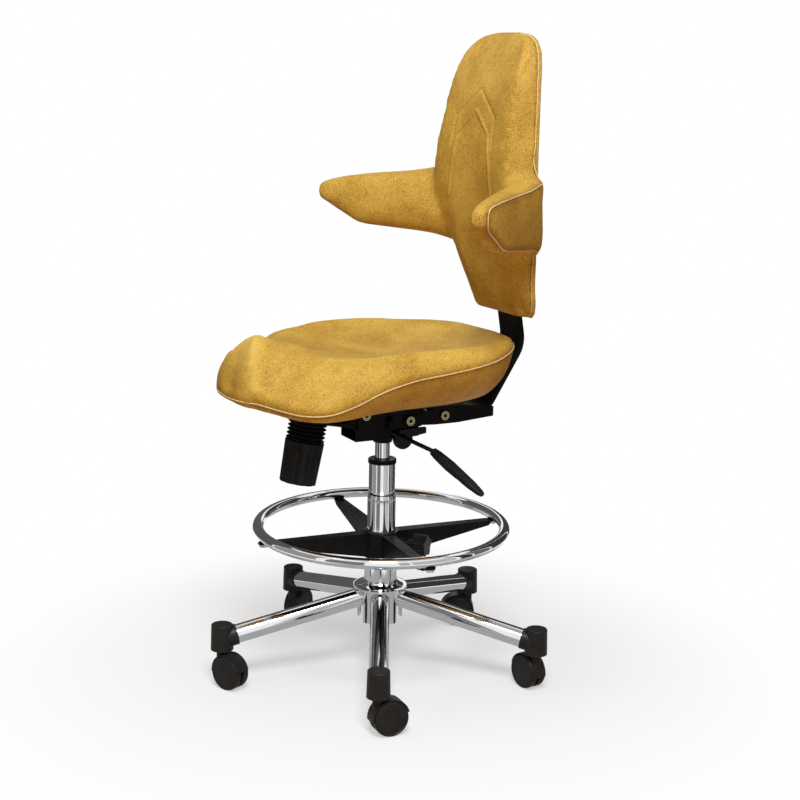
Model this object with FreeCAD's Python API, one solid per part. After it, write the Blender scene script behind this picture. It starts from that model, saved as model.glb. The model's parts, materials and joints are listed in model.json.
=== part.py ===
import FreeCAD, Part
import math
import os

# Saddle-seat work chair with two padded arm wings, a foot ring and a tilt mechanism.
# Millimetres, +Z up. The origin is on the floor under the column, -Y is the sitter's front
# and +X the sitter's left.

os.makedirs("parts", exist_ok=True)
V = FreeCAD.Vector
UP = V(0, 0, 1)
parts = {}

# Fits between pieces
RUN_FIT = 0.05
FREE_GAP = 0.3
HALF = 0.5

# Casters
WHEEL_R = 32.5
WHEEL_FACE_Y = 17.0
WHEEL_TREAD_EDGE_Y = 13.0
WHEEL_EDGE_ROUND = 1.8
WHEEL_RIM_R = 28.5
WHEEL_DISC_R = 27.0
WHEEL_DISC_STEP = 1.2
WHEEL_SHOULDER = 0.72
CASTER_TRAIL = 20.5
HOOD_CLEAR = 0.7
HOOD_WALL = 2.4
HOOD_HALF_WIDTH = 13.5
HOOD_WEB_HALF = 3.0
HOOD_REAR_DEG = 14.0
HOOD_SWEEP_DEG = 172.0
HOOD_BOSS_R = 10.5
HOOD_AXLE_BOSS_R = 9.0
CASTER_STEM_R = 5.5
CASTER_STEM_GRIP = 10.6
CASTER_STEM_TOP_GAP = 2.0
CASTER_TOP_GAP = 0.4
HOOD_NECK_RISE = 8.0
AXLE_R = 4.0
AXLE_HALF_LENGTH = 13.5
CASTER_HEADINGS = (87.0, 187.0, 243.0, 123.0, 25.0)

# Arm end caps
CAP_BOTTOM_Z = 2 * WHEEL_R + HOOD_NECK_RISE
CASTER_STEM_BOTTOM_Z = CAP_BOTTOM_Z - CASTER_TOP_GAP - CASTER_STEM_GRIP
CAP_HEIGHT = 49.0
CAP_BOTTOM_R = 21.5
CAP_TOP_R = 20.2
CAP_TOP_BEVEL = 1.2
CAP_COLLAR_WALL = 2.0
CAP_COLLAR_LENGTH = 28.0
STEM_SOCKET_DEPTH = 32.0

# Star base
ARM_COUNT = 5
FIRST_ARM_ANGLE = -27.0
STEM_RADIUS_ON_BASE = 311.0
ARM_TUBE_R = 18.0
ARM_TUBE_WALL = 2.0
ARM_DROP_DEG = 11.8
ARM_RISE_IN_CAP = 21.2
ARM_END_BACKOFF = 11.0
HUB_CORE_R = 31.0
HUB_SKIRT_R = 44.0
HUB_SKIRT_WALL = 4.0
HUB_BELOW_ARM = 45.0
HUB_ABOVE_ARM = 20.0
HUB_FLANGE_R = 52.0
HUB_FLANGE_T = 4.0
HUB_CONE_H = 16.0
HUB_COLLAR_H = 26.0
HUB_ARCH_CLEAR = 0.6
HUB_CONE_SAG_R = 0.36
HUB_CONE_SAG_Z = 0.22
ARM_RUN = STEM_RADIUS_ON_BASE - HUB_SKIRT_R
ARM_HEIGHT_AT_SKIRT = CAP_BOTTOM_Z + ARM_RISE_IN_CAP + ARM_RUN * math.tan(math.radians(ARM_DROP_DEG))
HUB_BOTTOM_Z = ARM_HEIGHT_AT_SKIRT - HUB_BELOW_ARM
HUB_SKIRT_TOP_Z = ARM_HEIGHT_AT_SKIRT + HUB_ABOVE_ARM
HUB_CONE_TOP_Z = HUB_SKIRT_TOP_Z + HUB_CONE_H
HUB_COLLAR_TOP_Z = HUB_CONE_TOP_Z + HUB_COLLAR_H

# Column
COLUMN_R = 25.0
COLUMN_WALL = 2.0
COLUMN_FLOOR_T = 4.0
COLUMN_ABOVE_HUB = 204.0
COLUMN_TOP_Z = HUB_COLLAR_TOP_Z + COLUMN_ABOVE_HUB
SLEEVE_R = 27.0
SLEEVE_LENGTH = 135.0
SLEEVE_TOP_Z = HUB_COLLAR_TOP_Z + SLEEVE_LENGTH
SLEEVE_STEP_H = 7.0
SLEEVE_LIP = 0.4
BUSH_LENGTH = 86.0
BUSH_RING_R = 27.0
BUSH_RING_H = 8.0
BUSH_RING_GROOVE = 1.2
PRESSURE_R = 14.0
PRESSURE_WALL = 3.0
PRESSURE_FOOT_RISE = 70.0
PRESSURE_BOTTOM_Z = HUB_BOTTOM_Z + PRESSURE_FOOT_RISE
PRESSURE_PLUG_T = 15.0
LIFT_SHOWN = 41.0
TAPER_START_Z = COLUMN_TOP_Z + LIFT_SHOWN
PRESSURE_HEAD_RISE = 5.0
PRESSURE_HEAD_Z = TAPER_START_Z + PRESSURE_HEAD_RISE
TAPER_TOP_R = 13.2
PISTON_ROD_R = 5.0
PISTON_BELOW_TOP = 58.0
PISTON_Z = COLUMN_TOP_Z - PISTON_BELOW_TOP
PISTON_T = 14.0
ROD_SHOULDER_R = 9.0
ROD_SHOULDER_T = 4.0
BEARING_R = 18.0
BEARING_RACE_T = 3.0
BEARING_CAGE_INSET = 2.0
CLIP_R = 9.0
CLIP_T = 2.6
PIN_R = 4.0
PIN_BORE_RISE = 13.0
PIN_TRAVEL_ROOM = 10.0
PIN_BORE_FLOOR_Z = TAPER_START_Z + PIN_BORE_RISE
PIN_BOTTOM_Z = PIN_BORE_FLOOR_Z + PIN_TRAVEL_ROOM

# Foot ring
RING_R = 235.4
RING_TUBE_R = 10.0
RING_ABOVE_HUB = 79.0
RING_Z = HUB_COLLAR_TOP_Z + RING_ABOVE_HUB
RING_BUSH_R = 30.0
RING_BUSH_DROP = 61.0
RING_BUSH_BOTTOM_Z = RING_Z - RING_BUSH_DROP
RING_BUSH_LENGTH = 49.0
RING_BUSH_FLANGE_R = 33.5
RING_BUSH_FLANGE_T = 4.0
SPIDER_HUB_R = 34.0
SPIDER_HUB_SETBACK = 2.0
SPIDER_HUB_BOTTOM_Z = RING_BUSH_BOTTOM_Z + SPIDER_HUB_SETBACK
SPIDER_ARM_COUNT = 4
SPIDER_FIRST_ANGLE = -5.0
SPIDER_WALL = 2.5
SPIDER_ROOT_HALF = 12.0
SPIDER_TIP_HALF = 10.0
SPIDER_ROOT_H = 47.0
SPIDER_KNEE_R = 104.0
SPIDER_KNEE_H = 33.0
SPIDER_TAB_R = 226.0
SPIDER_TAB_H = 9.0
SPIDER_TAB_T = 3.0
SPIDER_END_OVERHANG = 0.5
SCREW_R = 3.0
SCREW_DEPTH = 8.0
SCREW_HEAD_R = 8.0
SCREW_HEAD_T = 5.0
KNOB_ANGLE = 40.0
KNOB_DROP = 29.0
KNOB_Z = RING_Z - KNOB_DROP
KNOB_INNER_R = 68.0
KNOB_LENGTH = 28.0
KNOB_CORE_R = 16.5
KNOB_LOBES = 5
KNOB_LOBE_R = 6.5
KNOB_LOBE_CIRCLE_R = 14.5
KNOB_NECK_R = 9.0
KNOB_NECK_LENGTH = 10.0
STUD_R = 4.0
STUD_TIP_GAP = 0.4
STUD_IN_KNOB = 18.0
CLAMP_BOSS_R = 9.0
CLAMP_BOSS_OUT = 12.0

# Tilt mechanism: side layers from the inside out
SHEET_T = 3.0
SEAT_FLANGE_X = 36.0
EAR_X = SEAT_FLANGE_X + SHEET_T + FREE_GAP
CARRIER_X = EAR_X + SHEET_T + FREE_GAP
PIVOT_R = 5.0
PIVOT_HEAD_R = 8.5
PIVOT_HEAD_T = 6.0
PIVOT_SOCKET_R = 4.0
PIVOT_SOCKET_DEPTH = 3.0
FRONT_PIVOT_Y = -58.0
FRONT_PIVOT_RISE = 26.5
MIDDLE_PIVOT_Y = 32.3
MIDDLE_PIVOT_RISE = 9.8
REAR_PIVOT_Y = 106.1
REAR_PIVOT_RISE = 13.8
REAR_SLOT_PLAY = 1.4
REAR_SLOT_FIT = 0.25
BOX_HALF_X = 32.0
BOX_RISE = 12.0
BOX_H = 25.0
BOX_BOTTOM_Z = TAPER_START_Z + BOX_RISE
BOX_TOP_Z = BOX_BOTTOM_Z + BOX_H
FRONT_PIVOT = (FRONT_PIVOT_Y, BOX_TOP_Z + FRONT_PIVOT_RISE)
MIDDLE_PIVOT = (MIDDLE_PIVOT_Y, BOX_TOP_Z + MIDDLE_PIVOT_RISE)
REAR_PIVOT = (REAR_PIVOT_Y, BOX_TOP_Z + REAR_PIVOT_RISE)
BOX_FRONT_Y = -72.0
BOX_REAR_Y = 60.0
BOX_WALL = 3.0
BASE_PLATE_T = 4.0
SOCKET_R = 21.0
SOCKET_FOOT_R = 18.0
TONGUE_HALF_X = 33.0
TONGUE_T = 4.0
TONGUE_REAR_Y = -30.0
TONGUE_KNEE_Y = -112.0
TONGUE_FRONT_Y = -195.0
EAR_FRONT_TOP_RISE = 34.0
EAR_FRONT_TOP_Z = BOX_TOP_Z + EAR_FRONT_TOP_RISE
EAR_REAR_TOP_RISE = 18.0
EAR_REAR_TOP_Z = BOX_TOP_Z + EAR_REAR_TOP_RISE
EAR_CREST_Y = -45.0
SEAT_PLATE_RISE = 38.0
SEAT_PLATE_Z = BOX_TOP_Z + SEAT_PLATE_RISE
SEAT_PLATE_HALF_X = 75.0
SEAT_PLATE_FRONT_Y = -115.0
SEAT_PLATE_REAR_Y = 122.0
SEAT_PLATE_CORNER = 18.0
SEAT_STRIP_HALF_X = 30.0
SEAT_STRIP_FRONT_Y = -180.0
FLANGE_FRONT_LOW_RISE = 6.0
FLANGE_FRONT_LOW_Z = BOX_TOP_Z + FLANGE_FRONT_LOW_RISE
FLANGE_ARCH_RISE = 33.0
FLANGE_ARCH_Z = BOX_TOP_Z + FLANGE_ARCH_RISE
FLANGE_REAR_LOW_RISE = 2.0
FLANGE_REAR_LOW_Z = BOX_TOP_Z + FLANGE_REAR_LOW_RISE
FLANGE_ARCH_FRONT_Y = -26.0
FLANGE_ARCH_REAR_Y = 66.0
FLANGE_TOE_Y = -75.0
FLANGE_HEEL_Y = -44.0
FLANGE_KNEE_Y = 92.0
CARRIER_FRONT_Y = 20.0
CARRIER_END_Y = 215.0
CARRIER_TAB_Y = 136.0
CARRIER_LOW_DROP = 3.0
CARRIER_LOW_Z = BOX_TOP_Z - CARRIER_LOW_DROP
CARRIER_NOSE_TOP_RISE = 19.0
CARRIER_NOSE_TOP_Z = BOX_TOP_Z + CARRIER_NOSE_TOP_RISE
CARRIER_TOP_RISE = 32.0
CARRIER_TOP_Z = BOX_TOP_Z + CARRIER_TOP_RISE
CARRIER_END_LOW_RISE = 3.0
CARRIER_END_LOW_Z = BOX_TOP_Z + CARRIER_END_LOW_RISE
CARRIER_END_TOP_RISE = 22.0
CARRIER_END_TOP_Z = BOX_TOP_Z + CARRIER_END_TOP_RISE
CARRIER_WEB_FRONT_Y = 124.0
CARRIER_NOSE_LOW_DROP = 1.0
CARRIER_NOSE_LOW_Z = BOX_TOP_Z - CARRIER_NOSE_LOW_DROP
CARRIER_NOSE_KNEE_Y = 53.0
CARRIER_LOW_FROM_Y = 88.0
CARRIER_CREST_Y = 97.0

# Tension unit
SPINDLE_TOP_Y = -150.0
SPINDLE_LEAN_DEG = 10.6
SPINDLE_R = 5.0
SPINDLE_HEAD_R = 9.0
SPINDLE_HEAD_T = 4.0
SPINDLE_SLOT_CLEAR = 1.0
SPINDLE_TILT_SHIFT = 6.0
BELLOWS_START = 22.0
BELLOWS_R = 36.0
BELLOWS_RIB_DEPTH = 5.0
BELLOWS_WALL = 1.6
BELLOWS_RIBS = 5
BELLOWS_CREST_FROM = 0.35
BELLOWS_CREST_TO = 0.65
TENSION_KNOB_START = 60.0
TENSION_KNOB_LENGTH = 78.0
TENSION_KNOB_TOP_R = 36.5
TENSION_KNOB_END_R = 34.0
TENSION_KNOB_WALL = 4.0
TENSION_KNOB_FLOOR = 12.0
TENSION_KNOB_FLUTES = 10
TENSION_KNOB_FLUTE_R = 9.0
TENSION_KNOB_FLUTE_DEPTH = 1.5
TENSION_KNOB_FLUTE_FROM = 16.0
SPRING_R = 19.0
SPRING_WIRE_R = 2.5

# Height lever
LEVER_R = 4.0
LEVER_RISE = 18.0
LEVER_Z = BOX_TOP_Z + LEVER_RISE
LEVER_PIVOT_X = 41.0
LEVER_INNER_X = -6.0
LEVER_DROP_X = 51.0
LEVER_DROP_Y = -9.0
LEVER_LOW_DROP = 6.0
LEVER_LOW_Z = BOX_TOP_Z - LEVER_LOW_DROP
GRIP_START_X = 140.0
GRIP_START_Y = 32.0
GRIP_START_DROP = 27.0
GRIP_END_X = 249.0
GRIP_END_Y = 75.0
GRIP_END_DROP = 87.0
LEVER_GRIP_START = (GRIP_START_X, GRIP_START_Y, BOX_TOP_Z - GRIP_START_DROP)
LEVER_GRIP_END = (GRIP_END_X, GRIP_END_Y, BOX_TOP_Z - GRIP_END_DROP)
LEVER_BEND_R = 9.0
LEVER_IN_GRIP = 26.0
LEVER_HOLE_CLEAR = 0.5
PIN_CONTACT_GAP = 0.3
GRIP_ROUND = 3.0
GRIP_HALF_T = 7.5
# Share of the grip's length, half width and half thickness
GRIP_STATIONS = (
    (0.0, 6.5, 6.0),
    (0.1, 8.5, 7.0),
    (0.34, 10.5, GRIP_HALF_T),
    (0.78, 10.0, 5.5),
    (0.95, 7.5, 4.2),
    (1.0, 4.6, 3.4),
)
GRIP_SCOOP_R = 42.0
GRIP_SCOOP_DEPTH = 3.0
GRIP_SCOOP_AT = 0.62

# Tilt lock cam
CAM_PIVOT_Y = 24.0
CAM_PIVOT_DROP = 20.0
CAM_PIVOT = (CAM_PIVOT_Y, BOX_TOP_Z - CAM_PIVOT_DROP)
CAM_DISC_DROP = 7.0
CAM_DISC_R = 19.0
CAM_T = 8.0
CAM_PIN_R = 5.0
CAM_PADDLE_END_Y = 72.0
CAM_PADDLE_LOW_DROP = 19.0
CAM_PADDLE_LOW_Z = BOX_TOP_Z - CAM_PADDLE_LOW_DROP
CAM_PADDLE_TOP_DROP = 8.0
CAM_PADDLE_TOP_Z = BOX_TOP_Z - CAM_PADDLE_TOP_DROP

# Seat
SEAT_PAN_T = 10.0
SEAT_PAN_HALF_X = 85.0
SEAT_PAN_FRONT_Y = -205.0
SEAT_PAN_REAR_Y = 150.0
SEAT_PAN_CORNER = 45.0
SEAT_BOLT_X = 62.0
SEAT_BOLT_FRONT_Y = -95.0
SEAT_BOLT_REAR_Y = 98.0
SEAT_BOLT_R = 4.0
SEAT_BOLT_HEAD_R = 6.5
SEAT_BOLT_HEAD_T = 5.0
SEAT_BOLT_IN_PAN = 8.0
SEAT_SIDE_BULGE = 0.13
SEAT_EDGE_BULGE = 0.16

# Backrest, arm wings and their carrier bar
BAR_HALF_X = 37.5
BAR_T = 9.5
BAR_START_Y = 128.0
BAR_LOW_BEND_Y = 205.0
BACK_ABOVE_SEAT_PLATE = 160.0
BACK_BOTTOM_Z = SEAT_PLATE_Z + BACK_ABOVE_SEAT_PLATE
BACK_STRAIGHT_H = 168.0
BAR_BEND_BELOW_BACK = 62.0
BAR_HIGH_BEND_Z = BACK_BOTTOM_Z - BAR_BEND_BELOW_BACK
BAR_UP_BACK = 158.0
BAR_TOP_Z = BACK_BOTTOM_Z + BAR_UP_BACK
BAR_LOW_BEND_R = 42.0
BAR_HIGH_BEND_R = 60.0
BACK_BOTTOM_REAR_Y = 260.5
BACK_STRAIGHT_REAR_Y = 231.5
BACK_COVER_T = 6.5
BACK_BOLT_X = 18.0
BACK_BOLT_RISES = (23.0, 73.0, 123.0)
BACK_BOLT_ZS = [BACK_BOTTOM_Z + rise for rise in BACK_BOLT_RISES]
BACK_BOLT_R = 4.0
BACK_BOLT_HEAD_R = 7.0
BACK_BOLT_HEAD_T = 4.5
BACK_BOLT_IN = 16.0
BAR_BOLT_YS = (146.0, 182.0)
WING_ROOT = (150.0, 208.0)
WING_TIP = (314.0, 9.0)
WING_ROUND = 0.62


def cylinder(radius, z_low, z_high, x=0.0, y=0.0):
    """Upright cylinder between two heights."""
    return Part.makeCylinder(radius, z_high - z_low, V(x, y, z_low), UP)


def tube(outer, inner, z_low, z_high):
    """Upright tube round the column axis."""
    return cylinder(outer, z_low, z_high).cut(cylinder(inner, z_low, z_high))


def x_cylinder(radius, x_low, x_high, y, z):
    """Cylinder lying along X."""
    return Part.makeCylinder(radius, x_high - x_low, V(x_low, y, z), V(1, 0, 0))


def polygon(points):
    """Closed flat face through the points."""
    return Part.Face(Part.makePolygon([V(*p) for p in points] + [V(*points[0])]))


def side_plate(points, x_low, x_high):
    """Plate with a (y, z) outline, between two X values."""
    return polygon([(x_low, y, z) for y, z in points]).extrude(V(x_high - x_low, 0, 0))


def line_edges(points):
    """Straight edges from each point to the next."""
    return [Part.LineSegment(a, b).toShape() for a, b in zip(points, points[1:])]


def both_sides(shape):
    """A shape and its mirror image about the plane X = 0."""
    return [shape, shape.mirror(V(0, 0, 0), V(1, 0, 0))]


def spin_profile(points):
    """Solid of revolution round Z of a closed (r, z) outline."""
    return polygon([(r, 0, z) for r, z in points]).revolve(V(0, 0, 0), UP, 360)


def turned(shape, degrees):
    """Copy of a shape turned about the column axis."""
    copy = shape.copy()
    copy.rotate(V(0, 0, 0), UP, degrees)
    return copy


def along(shape, start, direction):
    """Move a shape built up from the origin along Z onto a start point and direction."""
    copy = shape.copy()
    copy.Placement = FreeCAD.Placement(start, FreeCAD.Rotation(UP, direction))
    return copy


def round_corners(points, radii):
    """Open path through the points, with each inner corner rounded by a tangent arc."""
    points = [V(*p) for p in points]
    edges = []
    last = points[0]
    for before, corner, after, radius in zip(points, points[1:], points[2:], radii):
        back = (before - corner).normalize()
        ahead = (after - corner).normalize()
        half_turn = HALF * math.acos(max(-1.0, min(1.0, back.dot(ahead))))
        reach = radius / math.tan(half_turn)
        middle = (back + ahead).normalize()
        centre = corner + middle * (radius / math.sin(half_turn))
        start = corner + back * reach
        end = corner + ahead * reach
        edges.append(Part.LineSegment(last, start).toShape())
        edges.append(Part.Arc(start, centre - middle * radius, end).toShape())
        last = end
    edges.append(Part.LineSegment(last, points[-1]).toShape())
    return Part.Wire(edges)


def round_box_wire(half_a, half_b, radius, z):
    """Flat rounded rectangle about the Z axis at height z."""
    a = half_a - radius
    b = half_b - radius
    k = radius * math.sqrt(HALF)
    corners = ((a, b, 1, 1), (-a, b, -1, 1), (-a, -b, -1, -1), (a, -b, 1, -1))
    arcs = []
    for index, (x, y, sx, sy) in enumerate(corners):
        first = V(x + sx * radius, y, z)
        last = V(x, y + sy * radius, z)
        if index % 2:
            first, last = last, first
        arcs.append(Part.Arc(first, V(x + sx * k, y + sy * k, z), last))
    edges = []
    for arc, following in zip(arcs, arcs[1:] + arcs[:1]):
        edges.append(arc.toShape())
        edges.append(Part.LineSegment(arc.EndPoint, following.StartPoint).toShape())
    return Part.Wire(edges)


def rounded_plate(x_half, y_low, y_high, corner, z_low, z_high):
    """Flat plate with rounded corners."""
    wire = round_box_wire(x_half, HALF * (y_high - y_low), corner, z_low)
    plate = Part.Face(wire).extrude(V(0, 0, z_high - z_low))
    plate.translate(V(0, HALF * (y_low + y_high), 0))
    return plate


# Star base
ARM_SLOPE = math.radians(ARM_DROP_DEG)
ARM_DIRECTION = V(math.cos(ARM_SLOPE), 0, -math.sin(ARM_SLOPE))


def arm_axis_point(radius):
    """Point on a base arm's centre line at a distance from the column axis."""
    return V(radius, 0, ARM_HEIGHT_AT_SKIRT - (radius - HUB_SKIRT_R) * math.tan(ARM_SLOPE))


def arm_cylinder(radius, r_low, r_high):
    """Cylinder on the arm's centre line between two distances from the column."""
    length = (r_high - r_low) / math.cos(ARM_SLOPE)
    return Part.makeCylinder(radius, length, arm_axis_point(r_low), ARM_DIRECTION)


ARM_END_R = STEM_RADIUS_ON_BASE - ARM_END_BACKOFF
FLANGE_TOP_Z = HUB_SKIRT_TOP_Z + HUB_FLANGE_T
SKIRT_IN_R = HUB_SKIRT_R - HUB_SKIRT_WALL


def make_hub():
    """Core tube, flange with a hollow cone, and a skirt arched over every arm."""
    roof_z = HUB_SKIRT_TOP_Z - HUB_SKIRT_WALL
    outline = [(COLUMN_R, HUB_BOTTOM_Z), (HUB_CORE_R, HUB_BOTTOM_Z), (HUB_CORE_R, roof_z),
               (SKIRT_IN_R, roof_z), (SKIRT_IN_R, HUB_BOTTOM_Z), (HUB_SKIRT_R, HUB_BOTTOM_Z),
               (HUB_SKIRT_R, HUB_SKIRT_TOP_Z), (HUB_FLANGE_R, HUB_SKIRT_TOP_Z), (HUB_FLANGE_R, FLANGE_TOP_Z)]
    collar = [(HUB_CORE_R, HUB_CONE_TOP_Z), (HUB_CORE_R, HUB_COLLAR_TOP_Z), (COLUMN_R, HUB_COLLAR_TOP_Z)]
    edges = line_edges([V(r, 0, z) for r, z in outline])
    rise = HUB_CONE_TOP_Z - FLANGE_TOP_Z
    spread = HUB_FLANGE_R - HUB_CORE_R
    sag = V(HUB_CORE_R + spread * HUB_CONE_SAG_R, 0, FLANGE_TOP_Z + rise * HUB_CONE_SAG_Z)
    edges.append(Part.Arc(V(HUB_FLANGE_R, 0, FLANGE_TOP_Z), sag, V(HUB_CORE_R, 0, HUB_CONE_TOP_Z)).toShape())
    edges += line_edges([V(r, 0, z) for r, z in collar + outline[:1]])
    hub = Part.Face(Part.Wire(edges)).revolve(V(0, 0, 0), UP, 360)
    arch_r = ARM_TUBE_R + HUB_ARCH_CLEAR
    arch = arm_cylinder(arch_r, HUB_CORE_R - arch_r, HUB_FLANGE_R + arch_r)
    slot_top = arm_axis_point(HUB_SKIRT_R).z
    slot_corner = V(HUB_CORE_R, -arch_r, HUB_BOTTOM_Z)
    slot = Part.makeBox(HUB_FLANGE_R, 2 * arch_r, slot_top - HUB_BOTTOM_Z, slot_corner)
    arch = arch.fuse(slot).cut(cylinder(HUB_CORE_R, 0, HUB_COLLAR_TOP_Z))
    for index in range(ARM_COUNT):
        hub = hub.cut(turned(arch, FIRST_ARM_ANGLE + index * 360.0 / ARM_COUNT))
    return hub


def make_base_arm():
    """Straight round tube saddled on the hub core and closed into its end cap."""
    solid = arm_cylinder(ARM_TUBE_R, HUB_CORE_R - ARM_TUBE_R, ARM_END_R)
    bore = arm_cylinder(ARM_TUBE_R - ARM_TUBE_WALL, HUB_CORE_R - 2 * ARM_TUBE_R, ARM_END_R + ARM_TUBE_R)
    return solid.cut(bore).cut(cylinder(HUB_CORE_R, 0, HUB_COLLAR_TOP_Z))


def make_end_cap():
    """Tapered plastic cap with a collar on the arm and a socket for the caster stem."""
    cap_top = CAP_BOTTOM_Z + CAP_HEIGHT
    cone = spin_profile([(0, CAP_BOTTOM_Z), (CAP_BOTTOM_R, CAP_BOTTOM_Z),
                         (CAP_TOP_R, cap_top - CAP_TOP_BEVEL), (CAP_TOP_R - CAP_TOP_BEVEL, cap_top),
                         (0, cap_top)])
    cone.translate(V(STEM_RADIUS_ON_BASE, 0, 0))
    collar_start = STEM_RADIUS_ON_BASE - CAP_COLLAR_LENGTH
    collar = arm_cylinder(ARM_TUBE_R + CAP_COLLAR_WALL, collar_start, STEM_RADIUS_ON_BASE)
    cap = cone.fuse(collar).removeSplitter()
    cap = cap.cut(arm_cylinder(ARM_TUBE_R, collar_start - ARM_TUBE_R, ARM_END_R))
    socket_top = CAP_BOTTOM_Z + STEM_SOCKET_DEPTH
    return cap.cut(cylinder(CASTER_STEM_R + RUN_FIT, 0, socket_top, STEM_RADIUS_ON_BASE))


# Casters, built round a stem on the Z axis with the wheel trailing towards +X
HOOD_IN_R = WHEEL_R + HOOD_CLEAR
HOOD_OUT_R = HOOD_IN_R + HOOD_WALL
WHEEL_INNER_Y = HOOD_WEB_HALF + FREE_GAP


def about_axle(face, degrees):
    """Sweep a face round the axle, from the rear over the top towards the stem side."""
    return face.revolve(V(0, 0, 0), V(0, -1, 0), degrees)


def y_cylinder(radius, y_low, y_high):
    """Cylinder along the axle."""
    return Part.makeCylinder(radius, y_high - y_low, V(0, y_low, 0), V(0, 1, 0))


def make_hood():
    """Hood over both wheels, with the web between them, the stem boss and the axle boss."""
    flat = [(HOOD_IN_R, -HOOD_HALF_WIDTH, 0), (HOOD_OUT_R, -HOOD_HALF_WIDTH, 0),
            (HOOD_OUT_R, HOOD_HALF_WIDTH, 0), (HOOD_IN_R, HOOD_HALF_WIDTH, 0)]
    web = [(0, -HOOD_WEB_HALF, 0), (HOOD_OUT_R, -HOOD_WEB_HALF, 0),
           (HOOD_OUT_R, HOOD_WEB_HALF, 0), (0, HOOD_WEB_HALF, 0)]
    hood = about_axle(polygon(flat), HOOD_SWEEP_DEG).fuse(about_axle(polygon(web), HOOD_SWEEP_DEG))
    hood.rotate(V(0, 0, 0), V(0, -1, 0), HOOD_REAR_DEG)
    hood = hood.fuse(y_cylinder(HOOD_AXLE_BOSS_R, -HOOD_WEB_HALF, HOOD_WEB_HALF))
    wheel_room = y_cylinder(HOOD_IN_R, -WHEEL_R, WHEEL_R)
    wheel_room.translate(V(CASTER_TRAIL, 0, WHEEL_R))
    hood.translate(V(CASTER_TRAIL, 0, WHEEL_R))
    boss = cylinder(HOOD_BOSS_R, WHEEL_R, CAP_BOTTOM_Z - CASTER_TOP_GAP).cut(wheel_room)
    hood = hood.fuse(boss).removeSplitter()
    hood = hood.cut(cylinder(CASTER_STEM_R, CASTER_STEM_BOTTOM_Z, CAP_BOTTOM_Z))
    axle_bore = y_cylinder(AXLE_R, -HOOD_WEB_HALF, HOOD_WEB_HALF)
    axle_bore.translate(V(CASTER_TRAIL, 0, WHEEL_R))
    return hood.cut(axle_bore)


def make_caster_pins():
    """Stem and axle of one caster."""
    stem_top = CAP_BOTTOM_Z + STEM_SOCKET_DEPTH - CASTER_STEM_TOP_GAP
    stem = cylinder(CASTER_STEM_R, CASTER_STEM_BOTTOM_Z, stem_top)
    axle = y_cylinder(AXLE_R, -AXLE_HALF_LENGTH, AXLE_HALF_LENGTH)
    axle.translate(V(CASTER_TRAIL, 0, WHEEL_R))
    return Part.makeCompound([stem, axle])


def make_wheel():
    """Wheel with a rounded tread edge, a raised rim and a blind bore, on the +Y side."""
    bore_r = AXLE_R + RUN_FIT
    bore_end = AXLE_HALF_LENGTH + FREE_GAP
    tread_in = WHEEL_R - WHEEL_EDGE_ROUND
    disc_y = WHEEL_FACE_Y - WHEEL_DISC_STEP
    shoulder_r = WHEEL_RIM_R + (WHEEL_R - WHEEL_RIM_R) * WHEEL_SHOULDER
    shoulder_y = WHEEL_TREAD_EDGE_Y + (WHEEL_FACE_Y - WHEEL_TREAD_EDGE_Y) * WHEEL_SHOULDER
    profile = [(bore_r, WHEEL_INNER_Y, 0), (tread_in, WHEEL_INNER_Y, 0),
               (WHEEL_R, WHEEL_INNER_Y + WHEEL_EDGE_ROUND, 0), (WHEEL_R, WHEEL_TREAD_EDGE_Y, 0),
               (shoulder_r, shoulder_y, 0), (WHEEL_RIM_R, WHEEL_FACE_Y, 0), (WHEEL_DISC_R, disc_y, 0),
               (0, WHEEL_FACE_Y, 0), (0, bore_end, 0), (bore_r, bore_end, 0)]
    wheel = polygon(profile).revolve(V(0, 0, 0), V(0, 1, 0), 360)
    wheel.translate(V(CASTER_TRAIL, 0, WHEEL_R))
    return wheel


parts["base_hub"] = make_hub()
base_arm = make_base_arm()
end_cap = make_end_cap()
hood = make_hood()
caster_pins = make_caster_pins()
wheel = make_wheel()
wheel_twin = wheel.mirror(V(0, 0, 0), V(0, 1, 0))
caps = []
for index, heading in zip(range(ARM_COUNT), CASTER_HEADINGS):
    angle = FIRST_ARM_ANGLE + index * 360.0 / ARM_COUNT
    foot = turned(Part.Vertex(STEM_RADIUS_ON_BASE, 0, 0), angle).Point
    caps.append(turned(end_cap, angle))
    parts["base_arm_%d" % (index + 1)] = turned(base_arm, angle)
    pieces = {"hood": hood, "pins": caster_pins, "wheel_left": wheel, "wheel_right": wheel_twin}
    for name, shape in pieces.items():
        placed = turned(shape, heading)
        placed.translate(foot)
        parts["caster_%d_%s" % (index + 1, name)] = placed
parts["arm_end_caps"] = Part.makeCompound(caps)

# Column with its lift cylinder
COLUMN_IN_R = COLUMN_R - COLUMN_WALL
FLOOR_TOP_Z = HUB_BOTTOM_Z + COLUMN_FLOOR_T
BEARING_TOP_Z = FLOOR_TOP_Z + 3 * BEARING_RACE_T
SHOULDER_Z = BEARING_TOP_Z + FREE_GAP * HALF
BORE_R = PRESSURE_R - PRESSURE_WALL
LEVER_BOTTOM_Z = LEVER_Z - LEVER_R

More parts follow.
